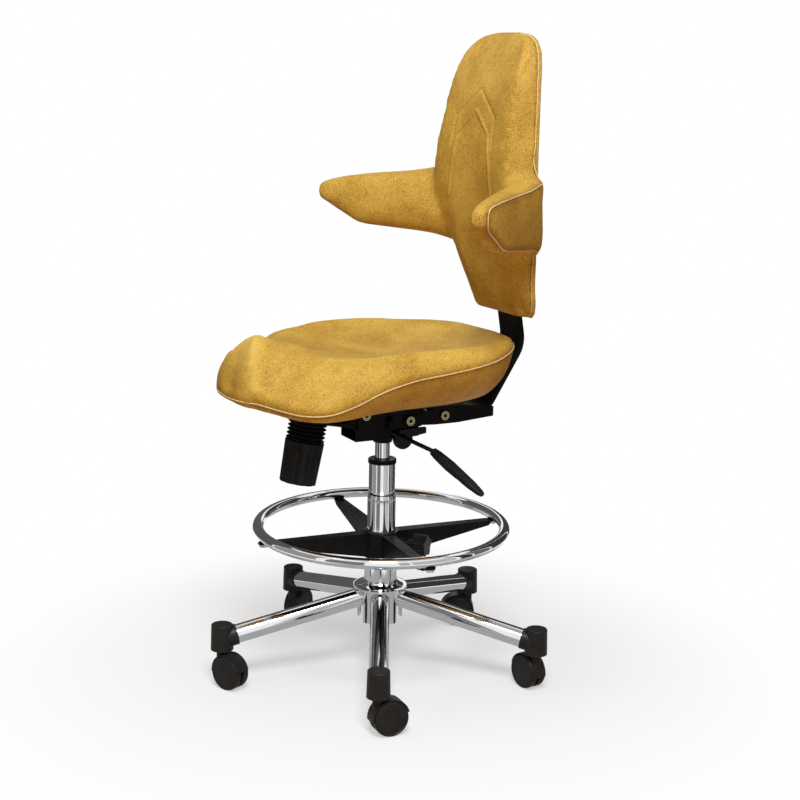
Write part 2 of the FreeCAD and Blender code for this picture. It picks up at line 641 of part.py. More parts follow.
column = cylinder(COLUMN_R, HUB_BOTTOM_Z, COLUMN_TOP_Z).cut(cylinder(COLUMN_IN_R, FLOOR_TOP_Z, COLUMN_TOP_Z))
parts["column_tube"] = column.cut(cylinder(PISTON_ROD_R + FREE_GAP, HUB_BOTTOM_Z, FLOOR_TOP_Z))
step_top = SLEEVE_TOP_Z + SLEEVE_STEP_H
parts["column_sleeve"] = spin_profile([(COLUMN_R, HUB_COLLAR_TOP_Z), (SLEEVE_R, HUB_COLLAR_TOP_Z),
                                       (SLEEVE_R, SLEEVE_TOP_Z), (COLUMN_R + SLEEVE_LIP, step_top),
                                       (COLUMN_R, step_top)])
bush_top = COLUMN_TOP_Z + BUSH_RING_H
groove_z = COLUMN_TOP_Z + BUSH_RING_H * HALF
parts["guide_bush"] = spin_profile([(PRESSURE_R + RUN_FIT, COLUMN_TOP_Z - BUSH_LENGTH),
                                    (COLUMN_IN_R, COLUMN_TOP_Z - BUSH_LENGTH), (COLUMN_IN_R, COLUMN_TOP_Z),
                                    (BUSH_RING_R, COLUMN_TOP_Z), (BUSH_RING_R, groove_z - BUSH_RING_GROOVE),
                                    (BUSH_RING_R - BUSH_RING_GROOVE, groove_z),
                                    (BUSH_RING_R, groove_z + BUSH_RING_GROOVE),
                                    (BUSH_RING_R, bush_top - BUSH_RING_GROOVE),
                                    (BUSH_RING_R - BUSH_RING_GROOVE, bush_top),
                                    (PRESSURE_R + RUN_FIT, bush_top)])
cage_z = FLOOR_TOP_Z + BEARING_RACE_T
parts["column_bearing"] = spin_profile([(PISTON_ROD_R + RUN_FIT, FLOOR_TOP_Z), (BEARING_R, FLOOR_TOP_Z),
                                        (BEARING_R, cage_z), (BEARING_R - BEARING_CAGE_INSET, cage_z),
                                        (BEARING_R - BEARING_CAGE_INSET, cage_z + BEARING_RACE_T),
                                        (BEARING_R, cage_z + BEARING_RACE_T), (BEARING_R, BEARING_TOP_Z),
                                        (PISTON_ROD_R + RUN_FIT, BEARING_TOP_Z)])
clip_top = HUB_BOTTOM_Z - FREE_GAP
shoulder_top = SHOULDER_Z + ROD_SHOULDER_T
parts["piston_rod"] = spin_profile([(0, clip_top - CLIP_T), (CLIP_R, clip_top - CLIP_T), (CLIP_R, clip_top),
                                    (PISTON_ROD_R, clip_top), (PISTON_ROD_R, SHOULDER_Z),
                                    (ROD_SHOULDER_R, SHOULDER_Z), (ROD_SHOULDER_R, shoulder_top),
                                    (PISTON_ROD_R, shoulder_top), (PISTON_ROD_R, PISTON_Z),
                                    (BORE_R - RUN_FIT, PISTON_Z), (BORE_R - RUN_FIT, PISTON_Z + PISTON_T),
                                    (0, PISTON_Z + PISTON_T)])
plug_top = PRESSURE_BOTTOM_Z + PRESSURE_PLUG_T
parts["pressure_tube"] = spin_profile([(PISTON_ROD_R + RUN_FIT, PRESSURE_BOTTOM_Z),
                                       (PRESSURE_R, PRESSURE_BOTTOM_Z),
                                       (PRESSURE_R, TAPER_START_Z), (TAPER_TOP_R, BOX_TOP_Z),
                                       (PIN_R + RUN_FIT, BOX_TOP_Z), (PIN_R + RUN_FIT, PIN_BORE_FLOOR_Z),
                                       (0, PIN_BORE_FLOOR_Z), (0, PRESSURE_HEAD_Z), (BORE_R, PRESSURE_HEAD_Z),
                                       (BORE_R, plug_top), (PISTON_ROD_R + RUN_FIT, plug_top)])
parts["release_pin"] = cylinder(PIN_R, PIN_BOTTOM_Z, LEVER_BOTTOM_Z - PIN_CONTACT_GAP)

# Foot ring
SPIDER_TOP_Z = RING_Z - RING_TUBE_R
BUSH_TOP_Z = RING_BUSH_BOTTOM_Z + RING_BUSH_LENGTH
SPIDER_END_R = RING_R + SPIDER_END_OVERHANG
ring_bush = tube(RING_BUSH_R, SLEEVE_R + RUN_FIT, RING_BUSH_BOTTOM_Z, BUSH_TOP_Z)
flange = tube(RING_BUSH_FLANGE_R, SLEEVE_R + RUN_FIT, BUSH_TOP_Z, BUSH_TOP_Z + RING_BUSH_FLANGE_T)
parts["ring_bush"] = ring_bush.fuse(flange).removeSplitter()


def make_spider_arm():
    """Pressed channel arm, open below, with a flat rounded tab under the ring."""
    def side(r, depth):
        return (r, 0, SPIDER_TOP_Z - depth)
    inner_r = RING_BUSH_R + 2 * RUN_FIT
    end = SPIDER_END_R + SPIDER_TIP_HALF
    face = polygon([side(inner_r, 0), side(end, 0), side(end, SPIDER_TAB_T), side(SPIDER_TAB_R, SPIDER_TAB_T),
                    side(SPIDER_TAB_R, SPIDER_TAB_H), side(SPIDER_KNEE_R, SPIDER_KNEE_H),
                    side(inner_r, SPIDER_ROOT_H)])
    body = face.extrude(V(0, 2 * SPIDER_ROOT_HALF, 0))
    body.translate(V(0, -SPIDER_ROOT_HALF, 0))

    def plan(inset, r_end):
        root = SPIDER_ROOT_HALF - inset
        tip = SPIDER_TIP_HALF - inset
        return polygon([(0, -root, 0), (r_end, -tip, 0), (r_end, tip, 0), (0, root, 0)])
    outer = plan(0, SPIDER_END_R).extrude(V(0, 0, SPIDER_TOP_Z))
    outer = outer.fuse(cylinder(SPIDER_TIP_HALF, 0, SPIDER_TOP_Z, SPIDER_END_R))
    hollow = plan(SPIDER_WALL, SPIDER_TAB_R - SPIDER_WALL).extrude(V(0, 0, SPIDER_TOP_Z - SPIDER_WALL))
    return body.common(outer).cut(hollow)


def radial(shape):
    """Turn a shape built along Z to point outwards at the clamp knob's place."""
    lean = math.radians(KNOB_ANGLE)
    return along(shape, V(0, 0, KNOB_Z), V(math.cos(lean), math.sin(lean), 0))


spider_bore = cylinder(RING_BUSH_R + RUN_FIT, 0, RING_Z)
spider = cylinder(SPIDER_HUB_R, SPIDER_HUB_BOTTOM_Z, BUSH_TOP_Z - FREE_GAP)
clamp_boss = cylinder(CLAMP_BOSS_R, SPIDER_HUB_R - SPIDER_WALL, SPIDER_HUB_R + CLAMP_BOSS_OUT)
spider = spider.fuse(radial(clamp_boss))
screws = []
ring = Part.makeTorus(RING_R, RING_TUBE_R, V(0, 0, RING_Z), UP)
spider_arm = make_spider_arm()
under_flange = cylinder(RING_BUSH_FLANGE_R + FREE_GAP, BUSH_TOP_Z - FREE_GAP, RING_Z)
for index in range(SPIDER_ARM_COUNT):
    angle = SPIDER_FIRST_ANGLE + index * 360.0 / SPIDER_ARM_COUNT
    spider = spider.fuse(turned(spider_arm, angle))
    shank = cylinder(SCREW_R, SPIDER_TOP_Z - SPIDER_TAB_T, SPIDER_TOP_Z + SCREW_DEPTH, RING_R)
    head_top = SPIDER_TOP_Z - SPIDER_TAB_T
    head = cylinder(SCREW_HEAD_R, head_top - SCREW_HEAD_T, head_top, RING_R)
    ring = ring.cut(turned(shank, angle))
    screws.append(turned(shank.fuse(head).removeSplitter(), angle))
for screw in screws:
    spider = spider.cut(screw)
spider = spider.cut(spider_bore).cut(under_flange)
spider = spider.cut(radial(cylinder(STUD_R + RUN_FIT, 0, KNOB_INNER_R)))
parts["ring_spider"] = spider.removeSplitter()
parts["foot_ring"] = ring
parts["ring_screws"] = Part.makeCompound(screws)


def make_clamp_knob():
    """Lobed hand knob with its neck, and the clamping stud moulded into it."""
    end = KNOB_INNER_R + KNOB_LENGTH
    knob = cylinder(KNOB_CORE_R, KNOB_INNER_R, end)
    knob = knob.fuse(cylinder(KNOB_NECK_R, KNOB_INNER_R - KNOB_NECK_LENGTH, KNOB_INNER_R))
    for index in range(KNOB_LOBES):
        turn = 2 * math.pi * index / KNOB_LOBES
        lobe_x = KNOB_LOBE_CIRCLE_R * math.cos(turn)
        lobe_y = KNOB_LOBE_CIRCLE_R * math.sin(turn)
        knob = knob.fuse(cylinder(KNOB_LOBE_R, KNOB_INNER_R, end, lobe_x, lobe_y))
    stud = cylinder(STUD_R, RING_BUSH_R + STUD_TIP_GAP, KNOB_INNER_R + STUD_IN_KNOB)
    return Part.makeCompound([radial(knob.removeSplitter().cut(stud)), radial(stud)])


parts["ring_knob"] = make_clamp_knob()

# Tilt mechanism
SPINDLE_LEAN = math.radians(SPINDLE_LEAN_DEG)
SPINDLE_TOP = V(0, SPINDLE_TOP_Y, SEAT_PLATE_Z)
SPINDLE_DOWN = V(0, -math.sin(SPINDLE_LEAN), -math.cos(SPINDLE_LEAN))
TONGUE_AT_SPINDLE = SPINDLE_TOP + SPINDLE_DOWN * BELLOWS_START


def tongue_under_z(y):
    """Underside of the sloping tongue, square to the spindle."""
    return TONGUE_AT_SPINDLE.z - (y - TONGUE_AT_SPINDLE.y) * math.tan(SPINDLE_LEAN)


def on_spindle(shape):
    """Move a shape built up from the origin so that its Z axis runs down the spindle."""
    return along(shape, SPINDLE_TOP, SPINDLE_DOWN)


def make_housing():
    """Box tube on the lift cone, with ears for the pivots and a tongue for the tension unit."""
    box = Part.makeBox(2 * BOX_HALF_X, BOX_REAR_Y - BOX_FRONT_Y, BOX_TOP_Z - BOX_BOTTOM_Z,
                       V(-BOX_HALF_X, BOX_FRONT_Y, BOX_BOTTOM_Z))
    inner_half = BOX_HALF_X - BOX_WALL
    hollow = Part.makeBox(2 * inner_half, BOX_REAR_Y - BOX_FRONT_Y, BOX_TOP_Z - BOX_BOTTOM_Z - 2 * BOX_WALL,
                          V(-inner_half, BOX_FRONT_Y, BOX_BOTTOM_Z + BOX_WALL))
    solid = box.cut(hollow)
    solid = solid.fuse(cylinder(SOCKET_R, BOX_BOTTOM_Z, BOX_TOP_Z))
    foot = Part.makeCone(SOCKET_FOOT_R, SOCKET_R, BOX_BOTTOM_Z - TAPER_START_Z, V(0, 0, TAPER_START_Z), UP)
    solid = solid.fuse(foot)
    ear_out = EAR_X + SHEET_T
    plate_z = BOX_TOP_Z - BASE_PLATE_T
    plate = Part.makeBox(2 * ear_out, BOX_REAR_Y - BOX_FRONT_Y, BASE_PLATE_T,
                         V(-ear_out, BOX_FRONT_Y, plate_z))
    solid = solid.fuse(plate)
    ear = side_plate([(BOX_FRONT_Y, plate_z), (BOX_REAR_Y, plate_z), (BOX_REAR_Y, EAR_REAR_TOP_Z),
                      (EAR_CREST_Y, EAR_FRONT_TOP_Z), (BOX_FRONT_Y, EAR_FRONT_TOP_Z)], EAR_X, ear_out)
    ear = ear.cut(x_cylinder(PIVOT_R, 0, ear_out, *FRONT_PIVOT))
    ear = ear.cut(x_cylinder(PIVOT_R, 0, ear_out, *MIDDLE_PIVOT))
    for side in both_sides(ear):
        solid = solid.fuse(side)
    knee_z = tongue_under_z(TONGUE_KNEE_Y)
    front_z = tongue_under_z(TONGUE_FRONT_Y)
    sheet = TONGUE_T / math.cos(SPINDLE_LEAN)
    tongue = side_plate([(TONGUE_REAR_Y, knee_z), (TONGUE_KNEE_Y, knee_z), (TONGUE_FRONT_Y, front_z),
                         (TONGUE_FRONT_Y, front_z + sheet), (TONGUE_KNEE_Y, knee_z + sheet),
                         (TONGUE_REAR_Y, knee_z + sheet)], -TONGUE_HALF_X, TONGUE_HALF_X)
    wall = side_plate([(BOX_FRONT_Y, BOX_TOP_Z), (TONGUE_REAR_Y, BOX_TOP_Z), (TONGUE_REAR_Y, knee_z),
                       (TONGUE_KNEE_Y, knee_z)], TONGUE_HALF_X - SHEET_T, TONGUE_HALF_X)
    solid = solid.fuse(tongue)
    for side in both_sides(wall):
        solid = solid.fuse(side)
    slot_r = SPINDLE_R + SPINDLE_SLOT_CLEAR
    slot_reach = 2 * TONGUE_T
    slot_start = BELLOWS_START - slot_reach
    slot = on_spindle(cylinder(slot_r, slot_start, BELLOWS_START + slot_reach))
    shifted = slot.copy()
    shifted.translate(V(0, -SPINDLE_TILT_SHIFT, 0))
    middle = Part.makeBox(2 * slot_r, SPINDLE_TILT_SHIFT, 2 * slot_reach, V(-slot_r, 0, slot_start))
    solid = solid.cut(slot).cut(shifted).cut(on_spindle(middle))
    cam_pin_end = BOX_HALF_X + CAM_T + 2 * FREE_GAP
    solid = solid.fuse(x_cylinder(CAM_PIN_R, BOX_HALF_X - BOX_WALL, cam_pin_end, *CAM_PIVOT))
    taper = Part.makeCone(PRESSURE_R, TAPER_TOP_R, BOX_TOP_Z - TAPER_START_Z, V(0, 0, TAPER_START_Z), UP)
    solid = solid.cut(taper)
    lever_hole = x_cylinder(LEVER_R + LEVER_HOLE_CLEAR, EAR_X - FREE_GAP, ear_out + FREE_GAP,
                            lever_inner_y(LEVER_PIVOT_X), LEVER_Z)
    return solid.cut(lever_hole).removeSplitter()


def lever_inner_y(x):
    """Y of the lever's inner run, which slants from the lift pin to its drop."""
    return LEVER_DROP_Y * x / LEVER_DROP_X


def make_seat_plate():
    """Top sheet with a front strip, and two flanges arched over the lever and the middle pivot."""
    top_z = SEAT_PLATE_Z + SHEET_T
    plate = rounded_plate(SEAT_PLATE_HALF_X, SEAT_PLATE_FRONT_Y, SEAT_PLATE_REAR_Y, SEAT_PLATE_CORNER,
                          SEAT_PLATE_Z, top_z)
    strip_length = SEAT_PLATE_FRONT_Y - SEAT_STRIP_FRONT_Y + SEAT_PLATE_CORNER
    strip = Part.makeBox(2 * SEAT_STRIP_HALF_X, strip_length, SHEET_T,
                         V(-SEAT_STRIP_HALF_X, SEAT_STRIP_FRONT_Y, SEAT_PLATE_Z))
    solid = plate.fuse(strip)
    outline = [(SEAT_PLATE_FRONT_Y, SEAT_PLATE_Z), (FLANGE_TOE_Y, FLANGE_FRONT_LOW_Z),
               (FLANGE_HEEL_Y, FLANGE_FRONT_LOW_Z),
               (FLANGE_ARCH_FRONT_Y, FLANGE_ARCH_Z), (FLANGE_ARCH_REAR_Y, FLANGE_ARCH_Z),
               (FLANGE_KNEE_Y, FLANGE_REAR_LOW_Z), (SEAT_PLATE_REAR_Y, FLANGE_REAR_LOW_Z),
               (SEAT_PLATE_REAR_Y, SEAT_PLATE_Z)]
    flange = side_plate(outline, SEAT_FLANGE_X, SEAT_FLANGE_X + SHEET_T)
    flange = flange.cut(x_cylinder(PIVOT_R + RUN_FIT, 0, EAR_X, *FRONT_PIVOT))
    slot_r = PIVOT_R + REAR_SLOT_FIT
    for shift in (-REAR_SLOT_PLAY, REAR_SLOT_PLAY):
        flange = flange.cut(x_cylinder(slot_r, 0, EAR_X, REAR_PIVOT[0] + shift, REAR_PIVOT[1]))
    flange = flange.cut(Part.makeBox(EAR_X, 2 * REAR_SLOT_PLAY, 2 * slot_r,
                                     V(0, REAR_PIVOT[0] - REAR_SLOT_PLAY, REAR_PIVOT[1] - slot_r)))
    for side in both_sides(flange):
        solid = solid.fuse(side)
    for bolt in seat_bolt_places():
        solid = solid.cut(cylinder(SEAT_BOLT_R, SEAT_PLATE_Z, top_z, *bolt))
    return solid.removeSplitter()


def seat_bolt_places():
    """Places of the four bolts between seat plate and seat pan."""
    return [(x, y) for x in (-SEAT_BOLT_X, SEAT_BOLT_X) for y in (SEAT_BOLT_FRONT_Y, SEAT_BOLT_REAR_Y)]


def make_carrier():
    """Two side cheeks from the middle pivot to the rear, joined by a web under the bar."""
    outline = [(CARRIER_FRONT_Y, CARRIER_NOSE_LOW_Z + PIVOT_R),
               (CARRIER_FRONT_Y + PIVOT_R, CARRIER_NOSE_LOW_Z),
               (CARRIER_NOSE_KNEE_Y, CARRIER_NOSE_LOW_Z), (CARRIER_LOW_FROM_Y, CARRIER_LOW_Z),
               (CARRIER_TAB_Y, CARRIER_LOW_Z), (CARRIER_END_Y, CARRIER_END_LOW_Z),
               (CARRIER_END_Y, CARRIER_END_TOP_Z), (CARRIER_TAB_Y, CARRIER_TOP_Z),
               (CARRIER_CREST_Y, CARRIER_TOP_Z),
               (CARRIER_NOSE_KNEE_Y, CARRIER_NOSE_TOP_Z), (CARRIER_FRONT_Y, CARRIER_NOSE_TOP_Z)]
    cheek = side_plate(outline, CARRIER_X, CARRIER_X + SHEET_T)
    cheek = cheek.cut(x_cylinder(PIVOT_R + RUN_FIT, 0, CARRIER_X + SHEET_T, *MIDDLE_PIVOT))
    cheek = cheek.cut(x_cylinder(PIVOT_R, 0, CARRIER_X + SHEET_T, *REAR_PIVOT))
    solid = Part.makeBox(2 * CARRIER_X, CARRIER_END_Y - CARRIER_WEB_FRONT_Y, SHEET_T,
                         V(-CARRIER_X, CARRIER_WEB_FRONT_Y, CARRIER_END_LOW_Z))
    for side in both_sides(cheek):
        solid = solid.fuse(side)
    for bolt in bar_bolts():
        solid = solid.cut(bolt)
    return solid.removeSplitter()


def pivot_bolt(x_low, x_seat, place):
    """Pivot shank from x_low, with a round head seated at x_seat and a hexagon socket."""
    y, z = place
    shank = x_cylinder(PIVOT_R, x_low, x_seat, y, z)
    head = x_cylinder(PIVOT_HEAD_R, x_seat, x_seat + PIVOT_HEAD_T, y, z)
    corners = []
    for index in range(6):
        turn = math.pi * index / 3
        corners.append((y + PIVOT_SOCKET_R * math.cos(turn), z + PIVOT_SOCKET_R * math.sin(turn)))
    socket_x = x_seat + PIVOT_HEAD_T - PIVOT_SOCKET_DEPTH
    return shank.fuse(head).cut(side_plate(corners, socket_x, x_seat + PIVOT_HEAD_T)).removeSplitter()


def through_pivot(x_seat, place):
    """Axle right across the mechanism, with a head at each side."""
    left, right = both_sides(pivot_bolt(0, x_seat, place))
    return left.fuse(right).removeSplitter()


BACK_LEAN = (BACK_STRAIGHT_REAR_Y - BACK_BOTTOM_REAR_Y) / BACK_STRAIGHT_H


def straight_rear_y(z):
    """Y of the rear seam on the straight lower stretch."""
    return BACK_BOTTOM_REAR_Y + BACK_LEAN * (z - BACK_BOTTOM_Z)


def bar_path():
    """Centre line of the back bar in the plane X = 0."""
    offset = BACK_COVER_T + HALF * BAR_T * math.sqrt(1 + BACK_LEAN * BACK_LEAN)

    def leg_y(z):
        return straight_rear_y(z) + offset
    low_z = CARRIER_END_LOW_Z + SHEET_T + HALF * BAR_T
    return [(0, BAR_START_Y, low_z), (0, BAR_LOW_BEND_Y, low_z), (0, leg_y(BAR_HIGH_BEND_Z), BAR_HIGH_BEND_Z),
            (0, leg_y(BAR_TOP_Z), BAR_TOP_Z)]


def bar_bolts():
    """Two bolts up through the carrier's web into the bar."""
    bolts = []
    low_z = CARRIER_END_LOW_Z
    for y in BAR_BOLT_YS:
        shank = cylinder(BACK_BOLT_R, low_z, low_z + SHEET_T + HALF * BAR_T, 0, y)
        head = cylinder(BACK_BOLT_HEAD_R, low_z - BACK_BOLT_HEAD_T, low_z, 0, y)
        bolts.append(shank.fuse(head).removeSplitter())
    return bolts


def cover_bolts():
    """Bolts through the bar and the rear board, with their heads behind the bar."""
    path = bar_path()
    start = V(*path[2])
    leg = (V(*path[3]) - start).normalize()
    normal = V(0, -leg.z, leg.y)
    bolts = []
    for z in BACK_BOLT_ZS:
        point = start + leg * ((z - start.z) / leg.z) - normal * (HALF * BAR_T)
        for x in (-BACK_BOLT_X, BACK_BOLT_X):
            place = point + V(x, 0, 0)
            shank = along(cylinder(BACK_BOLT_R, 0, BAR_T + BACK_BOLT_IN), place, normal)
            head = along(cylinder(BACK_BOLT_HEAD_R, -BACK_BOLT_HEAD_T, 0), place, normal)
            bolts.append(shank.fuse(head).removeSplitter())
    return bolts


def make_back_bar():
    """Flat bar bent up from the carrier and along the rear of the backrest."""
    spine = round_corners(bar_path(), (BAR_LOW_BEND_R, BAR_HIGH_BEND_R))
    low_z = bar_path()[0][2]
    under_z = low_z - HALF * BAR_T
    over_z = low_z + HALF * BAR_T
    section = polygon([(-BAR_HALF_X, BAR_START_Y, under_z), (BAR_HALF_X, BAR_START_Y, under_z),
                       (BAR_HALF_X, BAR_START_Y, over_z), (-BAR_HALF_X, BAR_START_Y, over_z)])
    bar = spine.makePipeShell([section.OuterWire], True, False)
    for bolt in bar_bolts() + cover_bolts():
        bar = bar.cut(bolt)
    return bar


parts["mechanism_housing"] = make_housing()
parts["seat_plate"] = make_seat_plate()
parts["back_carrier"] = make_carrier()
stubs = both_sides(pivot_bolt(EAR_X, CARRIER_X + SHEET_T + FREE_GAP, MIDDLE_PIVOT))
parts["pivot_axles"] = Part.makeCompound([through_pivot(EAR_X + SHEET_T, FRONT_PIVOT)] + stubs)
parts["rear_pivot"] = through_pivot(CARRIER_X + SHEET_T, REAR_PIVOT)
parts["back_bar"] = make_back_bar()

# Tension unit under the tongue
KNOB_END = TENSION_KNOB_START + TENSION_KNOB_LENGTH
KNOB_FLOOR_AT = KNOB_END - TENSION_KNOB_FLOOR
spindle_end = KNOB_END - HALF * TENSION_KNOB_FLOOR
spindle_head_at = SPINDLE_HEAD_R * math.tan(SPINDLE_LEAN)
spindle = cylinder(SPINDLE_R, spindle_head_at, spindle_end)
spindle = spindle.fuse(cylinder(SPINDLE_HEAD_R, spindle_head_at, spindle_head_at + SPINDLE_HEAD_T))
parts["tension_spindle"] = on_spindle(spindle.removeSplitter())


def make_bellows():
    """Ribbed rubber boot between tongue and knob."""
    pitch = (TENSION_KNOB_START - FREE_GAP - BELLOWS_START) / BELLOWS_RIBS
    valley = BELLOWS_R - BELLOWS_RIB_DEPTH
    outer = [(valley, BELLOWS_START)]
    for index in range(BELLOWS_RIBS):
        low = BELLOWS_START + index * pitch
        outer.append((BELLOWS_R, low + pitch * BELLOWS_CREST_FROM))
        outer.append((BELLOWS_R, low + pitch * BELLOWS_CREST_TO))
        outer.append((valley, low + pitch))
    inner = [(r - BELLOWS_WALL, z) for r, z in reversed(outer)]
    return on_spindle(spin_profile(outer + inner))


def make_tension_knob():
    """Hollow tapered hand knob with shallow flutes, threaded on the spindle."""
    knob = Part.makeCone(TENSION_KNOB_TOP_R, TENSION_KNOB_END_R, TENSION_KNOB_LENGTH,
                         V(0, 0, TENSION_KNOB_START), UP)
    hollow_r = TENSION_KNOB_END_R - TENSION_KNOB_WALL
    knob = knob.cut(cylinder(hollow_r, TENSION_KNOB_START, KNOB_FLOOR_AT))
    flute_at = TENSION_KNOB_END_R + TENSION_KNOB_FLUTE_R - TENSION_KNOB_FLUTE_DEPTH
    for index in range(TENSION_KNOB_FLUTES):
        turn = 2 * math.pi * index / TENSION_KNOB_FLUTES
        flute = cylinder(TENSION_KNOB_FLUTE_R, TENSION_KNOB_START + TENSION_KNOB_FLUTE_FROM, KNOB_END,
                         flute_at * math.cos(turn), flute_at * math.sin(turn))
        knob = knob.cut(flute)
    return on_spindle(knob.cut(cylinder(SPINDLE_R + RUN_FIT, KNOB_FLOOR_AT, spindle_end + FREE_GAP)))


def make_spring():
    """Plain envelope of the hidden compression spring, from the tongue to the knob's floor."""
    outer = SPRING_R + SPRING_WIRE_R
    inner = SPRING_R - SPRING_WIRE_R
    return on_spindle(tube(outer, inner, BELLOWS_START, KNOB_FLOOR_AT - FREE_GAP))


parts["bellows"] = make_bellows()
parts["tension_knob"] = make_tension_knob()
parts["tilt_spring"] = make_spring()

# Height lever
GRIP_START = V(*LEVER_GRIP_START)
GRIP_END = V(*LEVER_GRIP_END)
GRIP_AXIS = (GRIP_END - GRIP_START).normalize()
GRIP_LENGTH = (GRIP_END - GRIP_START).Length


def make_lever_rod():
    """Bent wire from above the lift pin, down beside the housing and out to the grip."""
    tail = GRIP_START + GRIP_AXIS * LEVER_IN_GRIP
    points = [(LEVER_INNER_X, lever_inner_y(LEVER_INNER_X), LEVER_Z), (LEVER_DROP_X, LEVER_DROP_Y, LEVER_Z),
              (LEVER_DROP_X, LEVER_DROP_Y, LEVER_LOW_Z), LEVER_GRIP_START, (tail.x, tail.y, tail.z)]
    spine = round_corners(points, (LEVER_BEND_R, LEVER_BEND_R, LEVER_BEND_R))
    heading = (V(*points[1]) - V(*points[0])).normalize()
    circle = Part.makeCircle(LEVER_R, V(*points[0]), heading)
    return spine.makePipeShell([Part.Wire(circle)], True, False)


def make_grip():
    """Flat tapering hand grip with a scooped underside, moulded on the rod."""
    wires = [round_box_wire(a, b, GRIP_ROUND, share * GRIP_LENGTH) for share, a, b in GRIP_STATIONS]
    grip = Part.makeLoft(wires, True, True)
    scoop_y = -(GRIP_SCOOP_R + GRIP_HALF_T - GRIP_SCOOP_DEPTH)
    scoop = x_cylinder(GRIP_SCOOP_R, -GRIP_SCOOP_R, GRIP_SCOOP_R, scoop_y, GRIP_SCOOP_AT * GRIP_LENGTH)
    grip = grip.cut(scoop)
    across = UP.cross(GRIP_AXIS).normalize()
    over = GRIP_AXIS.cross(across)
    grip.Placement = FreeCAD.Placement(GRIP_START, FreeCAD.Rotation(across, over, GRIP_AXIS, "ZXY"))
    return grip


lever_rod = make_lever_rod()
parts["lever_rod"] = lever_rod
parts["lever_grip"] = make_grip().cut(lever_rod)


def make_lock_cam():
    """Eccentric locking disc with a finger paddle, on a pin beside the housing."""
    x_low = BOX_HALF_X + FREE_GAP
    pivot_y, pivot_z = CAM_PIVOT
    disc = x_cylinder(CAM_DISC_R, x_low, x_low + CAM_T, pivot_y, pivot_z - CAM_DISC_DROP)
    paddle = side_plate([(pivot_y, CAM_PADDLE_LOW_Z - CAM_DISC_DROP), (CAM_PADDLE_END_Y, CAM_PADDLE_LOW_Z),
                         (CAM_PADDLE_END_Y, CAM_PADDLE_TOP_Z), (pivot_y, CAM_PADDLE_TOP_Z)],
                        x_low, x_low + CAM_T)
    cam = disc.fuse(paddle).removeSplitter()
    return cam.cut(x_cylinder(CAM_PIN_R + RUN_FIT, 0, x_low + CAM_T, *CAM_PIVOT))


parts["tilt_lock_cam"] = make_lock_cam()

# Seat
PAN_LOW_Z = SEAT_PLATE_Z + SHEET_T
PAN_TOP_Z = PAN_LOW_Z + SEAT_PAN_T
bolts = []
pan_blank = rounded_plate(SEAT_PAN_HALF_X, SEAT_PAN_FRONT_Y, SEAT_PAN_REAR_Y, SEAT_PAN_CORNER,
                          PAN_LOW_Z, PAN_TOP_Z)
pan = pan_blank.copy()
for x, y in seat_bolt_places():
    shank = cylinder(SEAT_BOLT_R, SEAT_PLATE_Z, PAN_LOW_Z + SEAT_BOLT_IN_PAN, x, y)
    head = cylinder(SEAT_BOLT_HEAD_R, SEAT_PLATE_Z - SEAT_BOLT_HEAD_T, SEAT_PLATE_Z, x, y)
    pan = pan.cut(shank)
    bolts.append(shank.fuse(head).removeSplitter())
parts["seat_pan"] = pan
parts["seat_bolts"] = Part.makeCompound(bolts)

# Cross sections of the saddle cushion, from the pommel to the rear: place along Y, half width and
# height at the piping, half width and height of the rim, height in the middle, half width and
# height of the underside. Heights are above the seat pan.
SEAT_SECTIONS = (
    (-311.0, 52.0, 27.0, 32.0, 54.0, 68.0, 44.0, 19.0),
    (-294.0, 88.0, 28.0, 46.0, 84.0, 101.0, 76.0, 16.0),
    (-268.0, 130.0, 22.0, 72.0, 90.0, 119.0, 114.0, 11.0),
    (-238.0, 165.0, 17.0, 104.0, 79.0, 121.0, 146.0, 4.0),
    (-200.0, 192.0, 20.0, 134.0, 85.0, 113.0, 164.0, 0.0),
    (-160.0, 208.0, 35.0, 160.0, 97.0, 100.0, 162.0, 0.0),
    (-110.0, 217.0, 58.0, 178.0, 106.0, 89.0, 144.0, 0.0),
    (-50.0, 221.0, 74.0, 187.0, 115.0, 83.0, 128.0, 0.0),
    (20.0, 221.0, 82.0, 189.0, 117.0, 82.0, 120.0, 0.0),
    (80.0, 214.0, 88.0, 183.0, 117.0, 85.0, 112.0, 0.0),
    (130.0, 196.0, 93.0, 167.0, 116.0, 91.0, 96.0, 0.0),
    (174.0, 165.0, 99.0, 137.0, 115.0, 101.0, 68.0, 1.0),
    (211.0, 118.0, 102.0, 92.0, 115.0, 111.0, 44.0, 22.0),
    (232.0, 70.0, 103.0, 50.0, 111.0, 113.0, 26.0, 58.0),
    (241.0, 28.0, 103.0, 18.0, 107.0, 108.5, 12.0, 86.0),
)


def swell(start, end, amount, centre):
    """Point beside the middle of a chord, pushed away from a centre by a share of its length."""
    chord = end - start
    normal = V(-chord.z, 0, chord.x)
    middle = (start + end) * HALF
    if normal.dot(middle - centre) < 0:
        normal = normal * -1.0
    return middle + normal * amount


